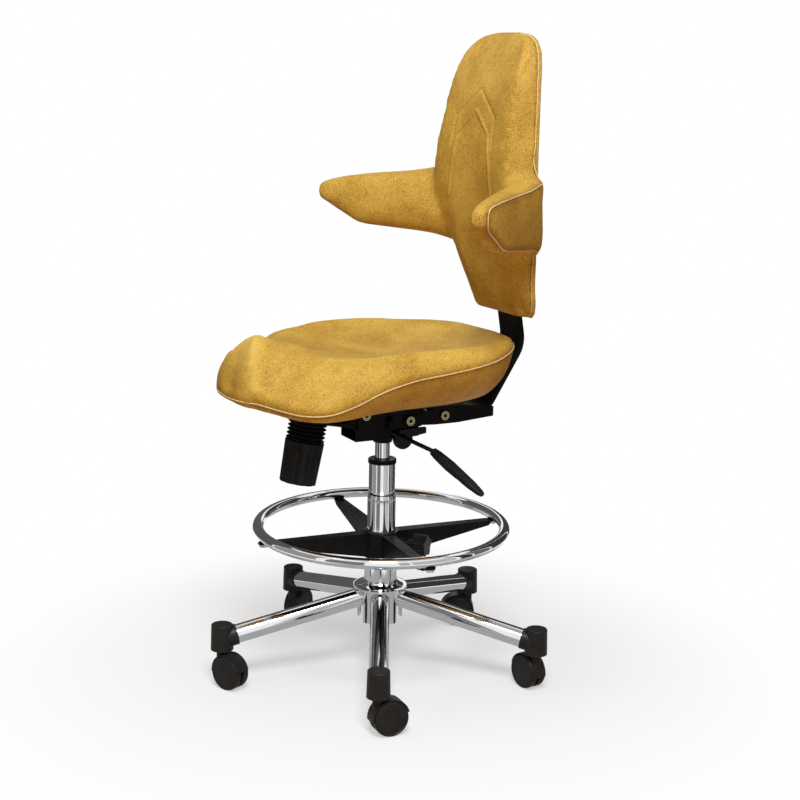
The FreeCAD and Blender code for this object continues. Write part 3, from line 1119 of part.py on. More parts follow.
def seat_wire(section):
    """One closed cross section: underside, drawn-in sides, rolled edges and crown."""
    y, pipe_x, pipe_h, rim_x, rim_h, middle_h, under_x, under_h = section
    pipe = V(pipe_x, y, PAN_TOP_Z + pipe_h)
    rim = V(rim_x, y, PAN_TOP_Z + rim_h)
    middle = V(0, y, PAN_TOP_Z + middle_h)
    under = V(under_x, y, PAN_TOP_Z + under_h)
    heart = V(0, y, HALF * (under.z + middle.z))
    side_swell = swell(under, pipe, SEAT_SIDE_BULGE, heart)
    edge_swell = swell(pipe, rim, SEAT_EDGE_BULGE, heart)

    def flip(point):
        return V(-point.x, point.y, point.z)
    curves = [Part.LineSegment(flip(under), under), Part.Arc(under, side_swell, pipe),
              Part.Arc(pipe, edge_swell, rim), Part.Arc(rim, middle, flip(rim)),
              Part.Arc(flip(rim), flip(edge_swell), flip(pipe)),
              Part.Arc(flip(pipe), flip(side_swell), flip(under))]
    return Part.Wire([curve.toShape() for curve in curves])


cushion = Part.makeLoft([seat_wire(section) for section in SEAT_SECTIONS], True, False)
parts["seat_cushion"] = cushion.cut(pan_blank)

# Cross sections of the backrest from bottom to top: rise above its bottom, half width at the piping,
# how far the seam bows behind the bar's straight line, half width of the front ridge, how far the
# ridge stands in front of the seam, and how far the front panel is hollowed between the ridges.
BACK_SECTIONS = (
    (0.0, 102.0, 0.0, 72.5, 23.5, 2.0),
    (61.0, 112.0, 0.0, 79.0, 37.0, 4.0),
    (116.0, 126.0, 0.0, 91.0, 43.5, 5.0),
    (BACK_STRAIGHT_H, 141.0, 0.0, 108.0, 49.5, 6.0),
    (213.0, 152.0, 1.3, 124.0, 53.0, 6.0),
    (258.0, 157.0, 5.5, 133.5, 54.5, 6.0),
    (311.0, 152.0, 17.2, 132.5, 52.0, 6.0),
    (374.0, 142.0, 34.6, 125.0, 48.5, 5.0),
    (431.0, 132.0, 50.9, 118.5, 43.0, 4.0),
    (471.0, 123.0, 63.3, 111.0, 35.5, 3.0),
    (498.0, 107.0, 72.0, 95.0, 25.5, 2.0),
    (514.0, 82.0, 76.7, 70.0, 14.5, 1.2),
    (522.0, 48.0, 79.1, 40.0, 6.5, 0.8),
)
BEHIND_COVER = 60.0


def back_wire(section):
    """Closed level section of the cushion, run on through the rear board."""
    rise, pipe_x, bow, ridge_x, ridge_forward, hollow = section
    z = BACK_BOTTOM_Z + rise
    pipe_y = straight_rear_y(z) + bow
    ridge_y = pipe_y - ridge_forward
    deep = pipe_y + BACK_COVER_T
    corners = [V(-pipe_x, deep, z), V(pipe_x, deep, z), V(pipe_x, pipe_y, z), V(ridge_x, ridge_y, z)]
    edges = line_edges(corners)
    far_ridge = V(-ridge_x, ridge_y, z)
    edges.append(Part.Arc(corners[3], V(0, ridge_y + hollow, z), far_ridge).toShape())
    edges += line_edges([far_ridge, V(-pipe_x, pipe_y, z), corners[0]])
    return Part.Wire(edges)


def board_wire(section, thickness, spread):
    """Level rectangle as wide as the backrest and a spread to each side, from its seam to the rear."""
    rise, pipe_x, bow = section[:3]
    z = BACK_BOTTOM_Z + rise
    pipe_y = straight_rear_y(z) + bow
    half = pipe_x + spread
    rear = pipe_y + thickness
    points = [V(-half, pipe_y, z), V(half, pipe_y, z), V(half, rear, z), V(-half, rear, z)]
    return Part.makePolygon(points + points[:1])


def wing_wire(station):
    """Upright rounded section of an arm wing."""
    share, half_thick, low, high = station
    start = V(*WING_ROOT)
    end = V(*WING_TIP)
    half_high = HALF * (high - low)
    wire = round_box_wire(half_thick, half_high, WING_ROUND * min(half_thick, half_high), 0)
    ahead = (end - start).normalize()
    outward = V(-ahead.y, ahead.x, 0)
    place = start + (end - start) * share + UP * (BACK_BOTTOM_Z + HALF * (low + high))
    wire.Placement = FreeCAD.Placement(place, FreeCAD.Rotation(outward, UP, ahead, "ZXY"))
    return wire


# Stations of a wing from root to tip: share of its length, half thickness, and rise of its low edge
# and of its high edge above the backrest's bottom.
WING_STATIONS = (
    (-0.15, 38.0, 128.0, 261.0),
    (0.0, 37.0, 136.0, 257.0),
    (0.28, 33.0, 142.0, 254.0),
    (0.5, 29.0, 147.0, 250.0),
    (0.69, 25.0, 153.0, 246.0),
    (0.8, 21.5, 163.0, 241.0),
    (0.9, 17.5, 179.0, 235.0),
    (0.97, 12.5, 192.0, 228.0),
    (1.0, 8.0, 199.0, 222.0),
)
back_solid = Part.makeLoft([back_wire(section) for section in BACK_SECTIONS], True, False)
cover = Part.makeLoft([board_wire(section, BACK_COVER_T, 0) for section in BACK_SECTIONS], True, True)
behind = Part.makeLoft([board_wire(section, BEHIND_COVER, BEHIND_COVER) for section in BACK_SECTIONS],
                       True, True)
back_cushion = back_solid.cut(behind)
wing = Part.makeLoft([wing_wire(station) for station in WING_STATIONS], True, False)
wing = wing.cut(back_solid).cut(behind)
drilled = cover_bolts()
for bolt in drilled:
    cover = cover.cut(bolt)
    back_cushion = back_cushion.cut(bolt)
parts["back_cushion"] = back_cushion
parts["back_cover"] = cover
parts["arm_left"], parts["arm_right"] = both_sides(wing)
parts["back_bolts"] = Part.makeCompound(drilled + bar_bolts())

for name, shape in parts.items():
    if not shape.isValid():
        print("not valid:", name)
    shape.exportStep("parts/%s.step" % name)
print("pieces:", len(parts), "solids:", sum(len(shape.Solids) for shape in parts.values()))
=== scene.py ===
# %% [markdown]
# # A saddle chair for the treatment room
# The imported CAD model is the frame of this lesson: every steel and plastic piece is already there, in
# metres, with +Z up and the sitter facing -Y. The lesson dresses it: finishes for the hard pieces, and
# leather cushions in place of the plain soft solids.

# %% Load the frame
import json
import bmesh
import bpy
import numpy as np
from mathutils import Matrix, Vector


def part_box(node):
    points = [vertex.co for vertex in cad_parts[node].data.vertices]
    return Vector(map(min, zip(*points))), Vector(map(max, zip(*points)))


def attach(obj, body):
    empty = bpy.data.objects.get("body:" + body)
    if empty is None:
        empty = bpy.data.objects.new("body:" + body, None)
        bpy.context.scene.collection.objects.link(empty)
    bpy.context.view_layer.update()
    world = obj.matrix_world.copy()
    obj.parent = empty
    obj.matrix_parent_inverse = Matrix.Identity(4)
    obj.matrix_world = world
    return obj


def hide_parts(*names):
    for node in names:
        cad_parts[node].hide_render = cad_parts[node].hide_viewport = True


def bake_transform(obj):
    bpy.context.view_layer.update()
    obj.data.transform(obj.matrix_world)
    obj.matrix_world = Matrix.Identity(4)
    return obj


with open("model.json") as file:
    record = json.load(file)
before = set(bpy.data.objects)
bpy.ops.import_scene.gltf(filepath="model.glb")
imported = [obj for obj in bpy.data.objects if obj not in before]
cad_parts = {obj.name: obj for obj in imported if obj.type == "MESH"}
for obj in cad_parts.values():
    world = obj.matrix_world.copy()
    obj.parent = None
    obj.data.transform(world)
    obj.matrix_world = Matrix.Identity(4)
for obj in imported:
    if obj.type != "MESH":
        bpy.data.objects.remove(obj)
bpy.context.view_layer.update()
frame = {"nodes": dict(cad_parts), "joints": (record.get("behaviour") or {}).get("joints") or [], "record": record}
nodes = frame["nodes"]
joints = {row["name"]: row for row in frame["joints"]}
MM = 0.001

# %% [markdown]
# ## Finishes
# A finish is what the light meets: plate, powder, plastic or leather. It could be an image, but then every
# piece has to be unwrapped. A node tree on Object coordinates fits CAD solids and soft skins alike, and its
# patterns have their real size in metres.

# %% Helpers for finishes


def fill(tree, node, inputs):
    """Links each named input of a node to a socket, or sets it to a number or a colour."""
    for slot, value in inputs.items():
        if isinstance(value, bpy.types.NodeSocket):
            tree.links.new(value, node.inputs[slot])
        else:
            node.inputs[slot].default_value = value
    return node


def add_node(tree, kind, inputs):
    """Shader node of a kind, with its inputs filled."""
    return fill(tree, tree.nodes.new("ShaderNode" + kind), inputs)


def new_finish(name, roughness, metallic=0.0):
    """Material with a Principled shader; returns it with its tree, shader and Object coordinates."""
    material = bpy.data.materials.new(name)
    material.use_nodes = True
    tree = material.node_tree
    shader = fill(tree, tree.nodes["Principled BSDF"], {"Roughness": roughness, "Metallic": metallic})
    return material, tree, shader, add_node(tree, "TexCoord", {}).outputs["Object"]


def noise(tree, place, scale, detail=3.0, roughness=0.55):
    """Grey clouds, scale per metre."""
    inputs = {"Vector": place, "Scale": scale, "Detail": detail, "Roughness": roughness}
    return add_node(tree, "TexNoise", inputs).outputs["Fac"]


def ramp(tree, factor, stops):
    """Colours between stops of (place, (r, g, b))."""
    node = add_node(tree, "ValToRGB", {"Fac": factor})
    marks = node.color_ramp.elements
    while len(marks) < len(stops):
        marks.new(0.5)
    for mark, (where, colour) in zip(marks, stops):
        mark.position = where
        mark.color = (*colour, 1.0)
    return node.outputs["Color"]


def calc(tree, operation, a, b):
    """Math node of two sockets, or of a socket and a number."""
    node = add_node(tree, "Math", {0: a, 1: b})
    node.operation = operation
    return node.outputs[0]


def measure(tree, operation, a, b=(0.0, 0.0, 0.0)):
    """Vector math node of a socket and a vector."""
    node = add_node(tree, "VectorMath", {0: a, 1: b})
    node.operation = operation
    return node


def bump(tree, height, distance, strength):
    """Normals with the relief of a height socket, distance in metres."""
    inputs = {"Height": height, "Distance": distance, "Strength": strength}
    return add_node(tree, "Bump", inputs).outputs["Normal"]


print("helpers for finishes ready")

# %% [markdown]
# The covers are waxed leather of a golden tan. A picture of a hide would show where it repeats, so the
# colour is a sum of broad clouds, thumb-sized mottling, fine specks and the grain's pebbles, which are dark
# in the valleys between them. One ramp reads the sum, and the pebbles also give the relief. An attribute
# named seam makes the leather darker along the piped seams, and lighter on the pommel's ridges, where it
# paints a highlight.

# %% Leather
CLOUDS_PER_M, MOTTLE_PER_M, SPECKS_PER_M, PEBBLES_PER_M = 13.0, 90.0, 560.0, 420.0
# how far the seam attribute moves the ramp: darker along the piped seams, and lighter where it paints a highlight
# on the pommel's ridges
BASE_TONE = 0.19
SEAM_DARKENING = -0.13
GRAIN_DEPTH = 0.7 * MM
GOLDEN_TAN = ((0.36, (0.330, 0.176, 0.026)), (0.46, (0.480, 0.288, 0.047)),
              (0.55, (0.610, 0.392, 0.072)), (0.66, (0.720, 0.490, 0.115)))
PALE_TAN = ((0.36, (0.50, 0.36, 0.15)), (0.5, (0.72, 0.57, 0.30)), (0.66, (0.80, 0.68, 0.42)))
WAX_GLOSS = ((0.3, (0.44,) * 3), (0.7, (0.58,) * 3))


def cells(tree, place, scale):
    """Distance from the middle of the nearest pebble, scale per metre."""
    return add_node(tree, "TexVoronoi", {"Vector": place, "Scale": scale}).outputs["Distance"]


def with_share(tree, mixed, pattern, share):
    """Sum of a socket and a share of a pattern."""
    return calc(tree, "ADD", mixed, calc(tree, "MULTIPLY", pattern, share))


def make_leather(name, stops):
    """Mottled waxed leather between the given colours."""
    material, tree, shader, place = new_finish(name, 0.5)
    clouds = noise(tree, place, CLOUDS_PER_M)
    mottle = noise(tree, place, MOTTLE_PER_M, 6.0, 0.7)
    specks = noise(tree, place, SPECKS_PER_M, 3.0, 0.7)
    pebbles = cells(tree, place, PEBBLES_PER_M)
    mixed = calc(tree, "MULTIPLY", clouds, 0.32)
    for pattern, share in ((mottle, 0.15), (specks, 0.38), (pebbles, -0.24)):
        mixed = with_share(tree, mixed, pattern, share)
    mixed = calc(tree, "ADD", mixed, BASE_TONE)
    # the seam attribute: darker along the piped seams, and a painted highlight on the pommel's ridges
    seam = add_node(tree, "Attribute", {})
    seam.attribute_name = "seam"
    mixed = with_share(tree, mixed, seam.outputs["Fac"], SEAM_DARKENING)
    grain = with_share(tree, calc(tree, "MULTIPLY", pebbles, -0.7), specks, 0.5)
    fill(tree, shader, {"Base Color": ramp(tree, mixed, stops), "Roughness": ramp(tree, mottle, WAX_GLOSS),
                        "Normal": bump(tree, grain, GRAIN_DEPTH, 0.55), "Specular IOR Level": 0.12})
    return material


leather = make_leather("golden leather", GOLDEN_TAN)
piping_leather = make_leather("pale piping leather", PALE_TAN)
print("leathers:", leather.name, piping_leather.name)

# %% [markdown]
# The hard pieces are chrome plate with a trace of polish haze, zinc-plated steel, powder-coated steel with
# its orange peel, moulded plastic with a fine grain, rubber, and plywood stained black. Each could have a
# tree of its own, but they differ only in colour, gloss and grain, so one function makes them all. The
# record's slots say which piece gets which.

# %% Hard finishes


def make_plain(name, colours, roughness, metallic=0.0, grain=900.0, relief=0.05 * MM, cloud=60.0, sheen=0.5):
    """Finish whose two close colours and gloss change in clouds, under a fine grain; scales per metre."""
    material, tree, shader, place = new_finish(name, roughness, metallic)
    patches = noise(tree, place, cloud, 4.0)
    colour = ramp(tree, patches, ((0.35, colours[0]), (0.65, colours[1])))
    rough = ramp(tree, patches, ((0.3, (roughness * 0.85,) * 3), (0.7, (roughness * 1.15,) * 3)))
    peel = bump(tree, noise(tree, place, grain, 2.0), relief, 0.6)
    fill(tree, shader, {"Base Color": colour, "Roughness": rough, "Normal": peel,
                        "Specular IOR Level": sheen})
    return material


chrome = make_plain("chrome plate", ((0.78, 0.79, 0.80), (0.84, 0.85, 0.86)), 0.06,
                    metallic=1.0, grain=120.0, relief=0.01 * MM, cloud=25.0)
steel = make_plain("zinc-plated steel", ((0.50, 0.49, 0.46), (0.62, 0.61, 0.58)), 0.3,
                   metallic=1.0, grain=700.0, relief=0.02 * MM)
black_steel = make_plain("black powder coat", ((0.005, 0.005, 0.0055), (0.009, 0.009, 0.0095)), 0.42,
                         grain=650.0, relief=0.1 * MM, sheen=0.08)
black_plastic = make_plain("black moulded plastic", ((0.006,) * 3, (0.011,) * 3), 0.4,
                           grain=1500.0, sheen=0.16)
# Lit and shaded copies of one black plastic: the lighter, glossier copy paints the light that the casters and the
# arm end caps catch near the floor.
lit_black_plastic = make_plain("lit black plastic", ((0.013,) * 3, (0.020,) * 3), 0.4, grain=1500.0, sheen=0.2)
rubber = make_plain("black rubber", ((0.004,) * 3, (0.008,) * 3), 0.5,
                    grain=1100.0, relief=0.06 * MM, sheen=0.12)
plywood = make_plain("black stained plywood", ((0.014, 0.013, 0.012), (0.024, 0.022, 0.020)), 0.6,
                     grain=300.0, relief=0.1 * MM)
finish_of_slot = {"tan_leather": leather, "chrome": chrome, "steel": steel, "black_steel": black_steel,
                  "black_plastic": black_plastic, "black_rubber": rubber, "plywood": plywood}
for row in frame["record"]["subparts"]:
    node = nodes[row["node"]]
    node.data.materials.clear()
    node.data.materials.append(finish_of_slot[row["material_slot"]])
nodes["seat_bolts"].data.materials[0] = black_steel
# The casters and the arm end caps get the lit copy of the black plastic, which paints the light near the floor.
for name, node in nodes.items():
    if (name.startswith("caster_") and not name.endswith("_pins")) or name == "arm_end_caps":
        node.data.materials[0] = lit_black_plastic
print("finishes on", len(nodes), "CAD nodes")

# %% [markdown]
# The three pivots of the tilt mechanism are turned from steel. Their faces get painted rings: bright ones
# are painted highlights on the turned edges, round a dark middle that is painted shade in the socket. The
# rings could be modelled, but they are fractions of a millimetre deep. So the finish measures how far each
# point lies from the nearest pivot's axis, which runs along X, and a ramp paints the rings.

# %% Pivots with painted highlights
rear_low, rear_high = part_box("rear_pivot")
pivots = [joints["seat_tilt"]["pos_m"], joints["back_recline"]["pos_m"], (rear_low + rear_high) / 2]
RING_SCALE = 0.01
# the bright rings are painted highlights on the pivots' edges, and the dark middle is painted shade in the socket
SOCKET, RIM_HIGHLIGHT, DULL = (0.006, 0.006, 0.006), (0.62, 0.52, 0.30), (0.10, 0.08, 0.05)
# radius in parts of RING_SCALE, and colour
PAINTED_RINGS = ((0.0, SOCKET), (0.36, SOCKET), (0.40, RIM_HIGHLIGHT), (0.52, RIM_HIGHLIGHT), (0.57, DULL), (0.68, DULL),
                (0.73, RIM_HIGHLIGHT), (0.82, RIM_HIGHLIGHT), (0.87, SOCKET))


def make_highlight_pivot():
    """Rings of painted highlight and painted shade round the pivots' axes, by distance in metres."""
    material, tree, shader, place = new_finish("painted highlight pivot", 0.28, 1.0)
    flat = measure(tree, "MULTIPLY", place, (0.0, 1.0, 1.0)).outputs["Vector"]
    nearest, *others = [measure(tree, "DISTANCE", flat, (0.0, y, z)).outputs["Value"] for _, y, z in pivots]
    for other in others:
        nearest = calc(tree, "MINIMUM", nearest, other)
    rings = ramp(tree, calc(tree, "DIVIDE", nearest, RING_SCALE), PAINTED_RINGS)
    fill(tree, shader, {"Base Color": rings})
    return material


highlight_pivot = make_highlight_pivot()
for name in ("pivot_axles", "rear_pivot"):
    nodes[name].data.materials.clear()
    nodes[name].data.materials.append(highlight_pivot)
print("turned pivots:", len(pivots))

# %% [markdown]
# ## Forms as grids
# A cushion could be sculpted by hand, but a form that is worked out can be checked and changed. Each form
# here is a grid of points from numpy: a row is one ring round the form, and the faces join neighbours.

# %% Grids and meshes


def add_piece(name, points, faces):
    """Object at the origin from an (n, 3) array of points and a list of faces."""
    mesh = bpy.data.meshes.new(name)
    mesh.from_pydata(points.tolist(), [], faces)
    mesh.validate()
    piece = bpy.data.objects.new(name, mesh)
    bpy.context.scene.collection.objects.link(piece)
    return piece


def grid_faces(rows, columns, loop_rows=False):
    """Quads between neighbouring points of a grid whose columns close into a ring."""
    row = np.arange(rows if loop_rows else rows - 1)[:, None]
    column = np.arange(columns)[None, :]
    ahead = (row + 1) % rows * columns
    beside = (column + 1) % columns
    corners = (row * columns + column, row * columns + beside, ahead + beside, ahead + column)
    return np.stack(corners, axis=-1).reshape(-1, 4).tolist()


def end_faces(rows, columns):
    """Two faces that fill the first and the last ring of a grid."""
    return [list(range(columns))[::-1], list(range((rows - 1) * columns, rows * columns))]


def facing_out(points, faces):
    """The faces, turned over if the volume of their quads, sum a . (b x c + c x d) / 6, is negative."""
    quads = np.array([face for face in faces if len(face) == 4])
    a, b, c, d = (points[quads[:, k]] for k in range(4))
    volume = np.einsum("ij,ij->i", a, np.cross(b, c) + np.cross(c, d)).sum() / 6.0
    return faces if volume > 0 else [face[::-1] for face in faces]


def closed_loft(name, rings):
    """Rings of points joined along their row, with the first and the last ring filled."""
    rows, columns = rings.shape[:2]
    points = rings.reshape(-1, 3)
    return add_piece(name, points, facing_out(points, grid_faces(rows, columns) + end_faces(rows, columns)))


def shade_smooth(piece):
    """Every face of the piece shares its normals with its neighbours."""
    smooth = np.ones(len(piece.data.polygons), dtype=bool)
    piece.data.polygons.foreach_set("use_smooth", smooth)
    piece.data.update()


print("helpers for grids ready")

# %% [markdown]
# ## Making a pad
# Real upholstery is foam in a sewn cover, so its panels swell between seams that hold still. That could be
# drawn into the sections, but cloth finds the swelling by itself. Each pad starts as a closed form, is
# remeshed into even squares, and is blown up a little as cloth, with its seams pinned and its travel capped.

# %% Points of a piece


def triples(rows, field):
    """A field of a mesh's rows, such as co of its vertices, as an (n, 3) array."""
    flat = np.empty(3 * len(rows))
    rows.foreach_get(field, flat)
    return flat.reshape(-1, 3)


def spots(piece):
    """The piece's points as an (n, 3) array."""
    return triples(piece.data.vertices, "co")


def outward(piece):
    """Unit normal at each point of the piece."""
    return triples(piece.data.vertex_normals, "vector")


def move_spots(piece, points):
    """Writes an (n, 3) array back into the piece."""
    piece.data.vertices.foreach_set("co", points.ravel())
    piece.data.update()


def distance_to(points, path):
    """Distance from each point to the nearest point of a path, in blocks to spare memory."""
    blocks = np.array_split(points, max(1, len(points) // 4000))
    gaps = [np.linalg.norm(block[:, None, :] - path[None], axis=2).min(axis=1) for block in blocks]
    return np.concatenate(gaps)


def close_to(points, path, reach, margin=0.4):
    """One within a margin of a reach from a path, fading to nought over the reach beyond it."""
    return np.clip(1 + margin - distance_to(points, path) / reach, 0, 1)


print("helpers for points ready")

# %% [markdown]
# A loft has long thin faces, which crumple badly as cloth. It could be drawn with even ones from the start,
# but a voxel remesh makes squares all over and melts forms that overlap into one skin. That leaves small
# steps, so the skin is smoothed, and subdivided once when its form is settled.

# %% Remesh and smooth
VOXEL = 4.5 * MM


def made_real(piece):
    """Puts the piece's modifiers into its mesh and removes them."""
    graph = bpy.context.evaluated_depsgraph_get()
    mesh = bpy.data.meshes.new_from_object(piece.evaluated_get(graph))
    piece.modifiers.clear()
    piece.data = mesh


def changed_by(piece, kind, **settings):
    """Adds a modifier with its settings and makes it real."""
    modifier = piece.modifiers.new(kind, kind)
    for field, value in settings.items():
        setattr(modifier, field, value)
    made_real(piece)


def remeshed(piece):
    """Even quads all over the closed form, with overlapping forms made one."""
    changed_by(piece, "REMESH", mode="VOXEL", voxel_size=VOXEL)


def refined(piece):
    """One subdivision."""
    changed_by(piece, "SUBSURF", levels=1, render_levels=1)


def weight_group(piece, name, weights):
    """Vertex group from an array of weights, in steps of a twentieth."""
    group = piece.vertex_groups.new(name=name)
    steps = np.round(np.clip(weights, 0, 1) * 20).astype(int)
    for step in np.unique(steps[steps > 0]):
        group.add(np.flatnonzero(steps == step).tolist(), step / 20.0, "REPLACE")
    return group.name


def smoothed(piece, weights, turns):
    """Laplacian smoothing, stronger where the weights are."""
    group = weight_group(piece, "soften", weights)
    changed_by(piece, "SMOOTH", vertex_group=group, factor=0.5, iterations=turns)
    piece.vertex_groups.clear()


print("voxel of the pads:", VOXEL)

# %% [markdown]
# The swelling is a short run of the cloth simulation: pressure from inside, no gravity, and pins that hold
# still. An inflating brush would swell every panel alike, while cloth is held back near its seams. It would
# go on swelling, so each point's travel is cut at a cap.

# %% Cloth
CLOTH_FRAMES = 20


def puffed(piece, pins, pressure, cap):
    """Cloth blown up for some frames with pinned points; no point moves further than the cap."""
    rest = spots(piece)
    cloth = piece.modifiers.new("puff", "CLOTH")
    cloth.settings.vertex_group_mass = weight_group(piece, "pins", pins)
    cloth.settings.use_pressure = True
    cloth.settings.uniform_pressure_force = pressure
    cloth.settings.effector_weights.gravity = 0.0
    cloth.settings.quality = 5
    cloth.point_cache.frame_end = CLOTH_FRAMES
    for step in range(1, CLOTH_FRAMES + 1):
        bpy.context.scene.frame_set(step)
    made_real(piece)
    piece.vertex_groups.clear()
    bpy.context.scene.frame_set(1)
    travel = spots(piece) - rest
    length = np.linalg.norm(travel, axis=1, keepdims=True)
    move_spots(piece, rest + travel * np.minimum(1.0, cap / np.maximum(length, 1e-9)))
    print(piece.name, "puffed, mean travel mm:", round(float(np.minimum(length, cap).mean()) / MM, 2))


print("cloth runs for", CLOTH_FRAMES, "frames")

# %% [markdown]
# ## The saddle seat
# The seat has a high pommel in front, a dish for the sitter and sides that draw in to a flat underside. It
# could be a subdivided box. Stations along Y keep it in hand: each gives the marks of one cross section, the
# piped seam, the rolled rim, the middle and the underside.

# %% Seat stations
PAN_TOP = 545.0
# y, piping half width and height, rim half width and height, middle height, underside half width and height
SEAT = np.array((
    (-316, 16, 25, 11, 30, 33, 13, 20),
    (-311, 52, 26, 36, 50, 56, 44, 18),
    (-294, 88, 27, 50, 84, 96, 76, 15),
    (-268, 130, 21, 74, 90, 119, 114, 10),
    (-238, 165, 16, 110, 80, 122, 146, 3.5),
    (-200, 192, 19, 147, 89, 114, 164, 0.3),
    (-160, 208, 34, 173, 102, 99, 162, 0.3),
    (-110, 217, 57, 187, 109, 87, 144, 0.3),
    (-50, 221, 73, 190, 114.5, 81, 128, 0.3),
    (20, 221, 81, 191, 116, 80, 120, 0.3),
    (80, 214, 87, 184, 115.5, 83, 112, 0.3),
    (130, 196, 92, 168, 113, 89, 96, 0.3),
    (174, 165, 98, 138, 113, 98, 68, 1),
    (211, 118, 101, 93, 113, 107, 44, 22),
    (232, 70, 102, 51, 109, 110, 26, 58),
    (241, 28, 102, 19, 105.5, 106.5, 12, 86),
    (243.5, 8, 101.5, 6, 103, 103.5, 4, 97),
))
MIRROR = np.array([-1.0, 1.0, 1.0])


def through(knots, values, at):
    """Cubic through each knot, with the slope m there taken from its neighbours: with t from 0 to 1
    between two knots and k = 2t^3 - 3t^2 + 1, k a + (1 - k) b + (t^3 - 2t^2 + t) m_a + (t^3 - t^2) m_b."""
    knots = np.asarray(knots, float)
    values = np.asarray(values, float)
    slope = np.gradient(values, knots, axis=0)
    low = np.clip(np.searchsorted(knots, at, side="right") - 1, 0, len(knots) - 2)
    span = knots[low + 1] - knots[low]
    t = (at - knots[low]) / span
    if values.ndim > 1:
        t, span = t[:, None], span[:, None]
    keep = 2 * t ** 3 - 3 * t ** 2 + 1
    turn = (t ** 3 - 2 * t ** 2 + t) * span
    turn_next = (t ** 3 - t ** 2) * span
    return keep * values[low] + (1 - keep) * values[low + 1] + turn * slope[low] + turn_next * slope[low + 1]


print("seat stations:", len(SEAT), "from y", SEAT[0, 0], "to", SEAT[-1, 0])

# %% [markdown]
# A section runs along the underside, up the drawn-in side, round the rolled edge and over the top. Straight
# lines between the marks would look like a box. So parabolas make the side and the edge, and a power of x
# makes the top, which turns from a tent at the pommel into a dish behind it.

# %% Seat sections
SIDE_BULGE, EDGE_BULGE = 0.13, 0.16
# crown of the top: nearly a tent in front of the first y, a parabola behind the second
CROWN_Y, CROWN = (-210.0, -110.0), (1.15, 2.0)


def parabola(start, end, bulge, count, inside):
    """Points (1 - t)^2 start + 2t(1 - t) control + t^2 end, on a parabola that stands off its chord, away
    from a point inside, by a share of the chord's length."""
    chord = end - start
    normal = np.stack([-chord[:, 1], chord[:, 0]], axis=1)
    away = np.sign(np.einsum("ij,ij->i", normal, 0.5 * (start + end) - inside))[:, None]
    control = 0.5 * (start + end) + 2.0 * bulge * normal * away
    t = np.linspace(0, 1, count, endpoint=False)[None, :, None]
    return (1 - t) ** 2 * start[:, None] + 2 * t * (1 - t) * control[:, None] + t ** 2 * end[:, None]


def seat_rings(rows):
    """Rings of the seat: at each y the underside, the drawn-in side, the rolled edge, and over the top
    z = middle + (rim - middle) (x / rim_x)^crown."""
    along = 0.5 - 0.5 * np.cos(np.linspace(0, np.pi, rows))
    y = SEAT[0, 0] + (SEAT[-1, 0] - SEAT[0, 0]) * along
    pipe_x, pipe_z, rim_x, rim_z, middle_z, under_x, under_z = through(SEAT[:, 0], SEAT[:, 1:], y).T
    under = np.stack([under_x, under_z], 1)
    pipe = np.stack([pipe_x, pipe_z], 1)
    rim = np.stack([rim_x, rim_z], 1)
    heart = np.stack([0 * y, 0.5 * (under_z + middle_z)], 1)
    share = np.linspace(0, 1, 12, endpoint=False)
    underside = under[:, None] * np.stack([share, np.ones(12)], 1)[None]
    side = parabola(under, pipe, SIDE_BULGE, 12, heart)
    edge = parabola(pipe, rim, EDGE_BULGE, 10, heart)
    over = np.linspace(1, 0, 16, endpoint=False)[None]
    crown = np.interp(y, CROWN_Y, CROWN)[:, None]
    rise = middle_z[:, None] + (rim_z - middle_z)[:, None] * over ** crown
    top = np.stack([rim_x[:, None] * over, rise], axis=2)
    crest = np.stack([0 * y, middle_z], 1)[:, None]
    half = np.concatenate([underside, side, edge, top, crest], axis=1)
    ring = np.concatenate([half, half[:, -2:0:-1] * MIRROR[:2]], axis=1)
    lengthways = np.broadcast_to(y[:, None], ring.shape[:2])
    return np.stack([ring[..., 0], lengthways, ring[..., 1] + PAN_TOP], axis=2) * MM


SEAT_ROWS = 150
seat_leather = closed_loft("seat_leather", seat_rings(SEAT_ROWS))
print("plain seat:", len(seat_leather.data.vertices), "points")

# %% [markdown]
# The upper and the lower panel of the seat's cover meet in a piped seam. It could be picked from the mesh by
# hand, but the stations know where it runs, so it is a curve through their piping marks.

# %% Seam of the seat
SEAT_SEAM_POINTS = 420


def length_along(path):
    """Length of the path up to each of its points."""
    return np.concatenate([[0.0], np.cumsum(np.linalg.norm(np.diff(path, axis=0), axis=1))])


def evened(path, turns):
    """Closed path with each point drawn to the mean of its neighbours."""
    for _ in range(turns):
        path = 0.5 * path + 0.25 * (np.roll(path, 1, axis=0) + np.roll(path, -1, axis=0))
    return path


def evenly_spaced(path, count):
    """Closed path resampled at equal steps of its length."""
    loop = np.vstack([path, path[:1]])
    run = length_along(loop)
    at = np.linspace(0, run[-1], count, endpoint=False)
    return np.stack([np.interp(at, run, loop[:, k]) for k in range(3)], axis=1)


def seat_seam(count):
    """Closed line of the piped seam, through the stations' piping marks."""
    left = np.stack([SEAT[:, 1], SEAT[:, 0], SEAT[:, 2] + PAN_TOP], axis=1)
    loop = np.vstack([left, left[::-1] * MIRROR, left[:1]])
    run = length_along(loop)
    dense = through(run, loop, np.linspace(0, run[-1], 4 * count, endpoint=False))
    return evenly_spaced(evened(dense, 12), count) * MM


seam = seat_seam(SEAT_SEAM_POINTS)
print("seat seam:", round(float(length_along(seam)[-1]), 3), "m long")

# %% [markdown]
# The cover is pulled tight at the seam and at the pan, and swells between them. Pinned points stand for the
# staples and the stitches, and the pressure stands for the foam.

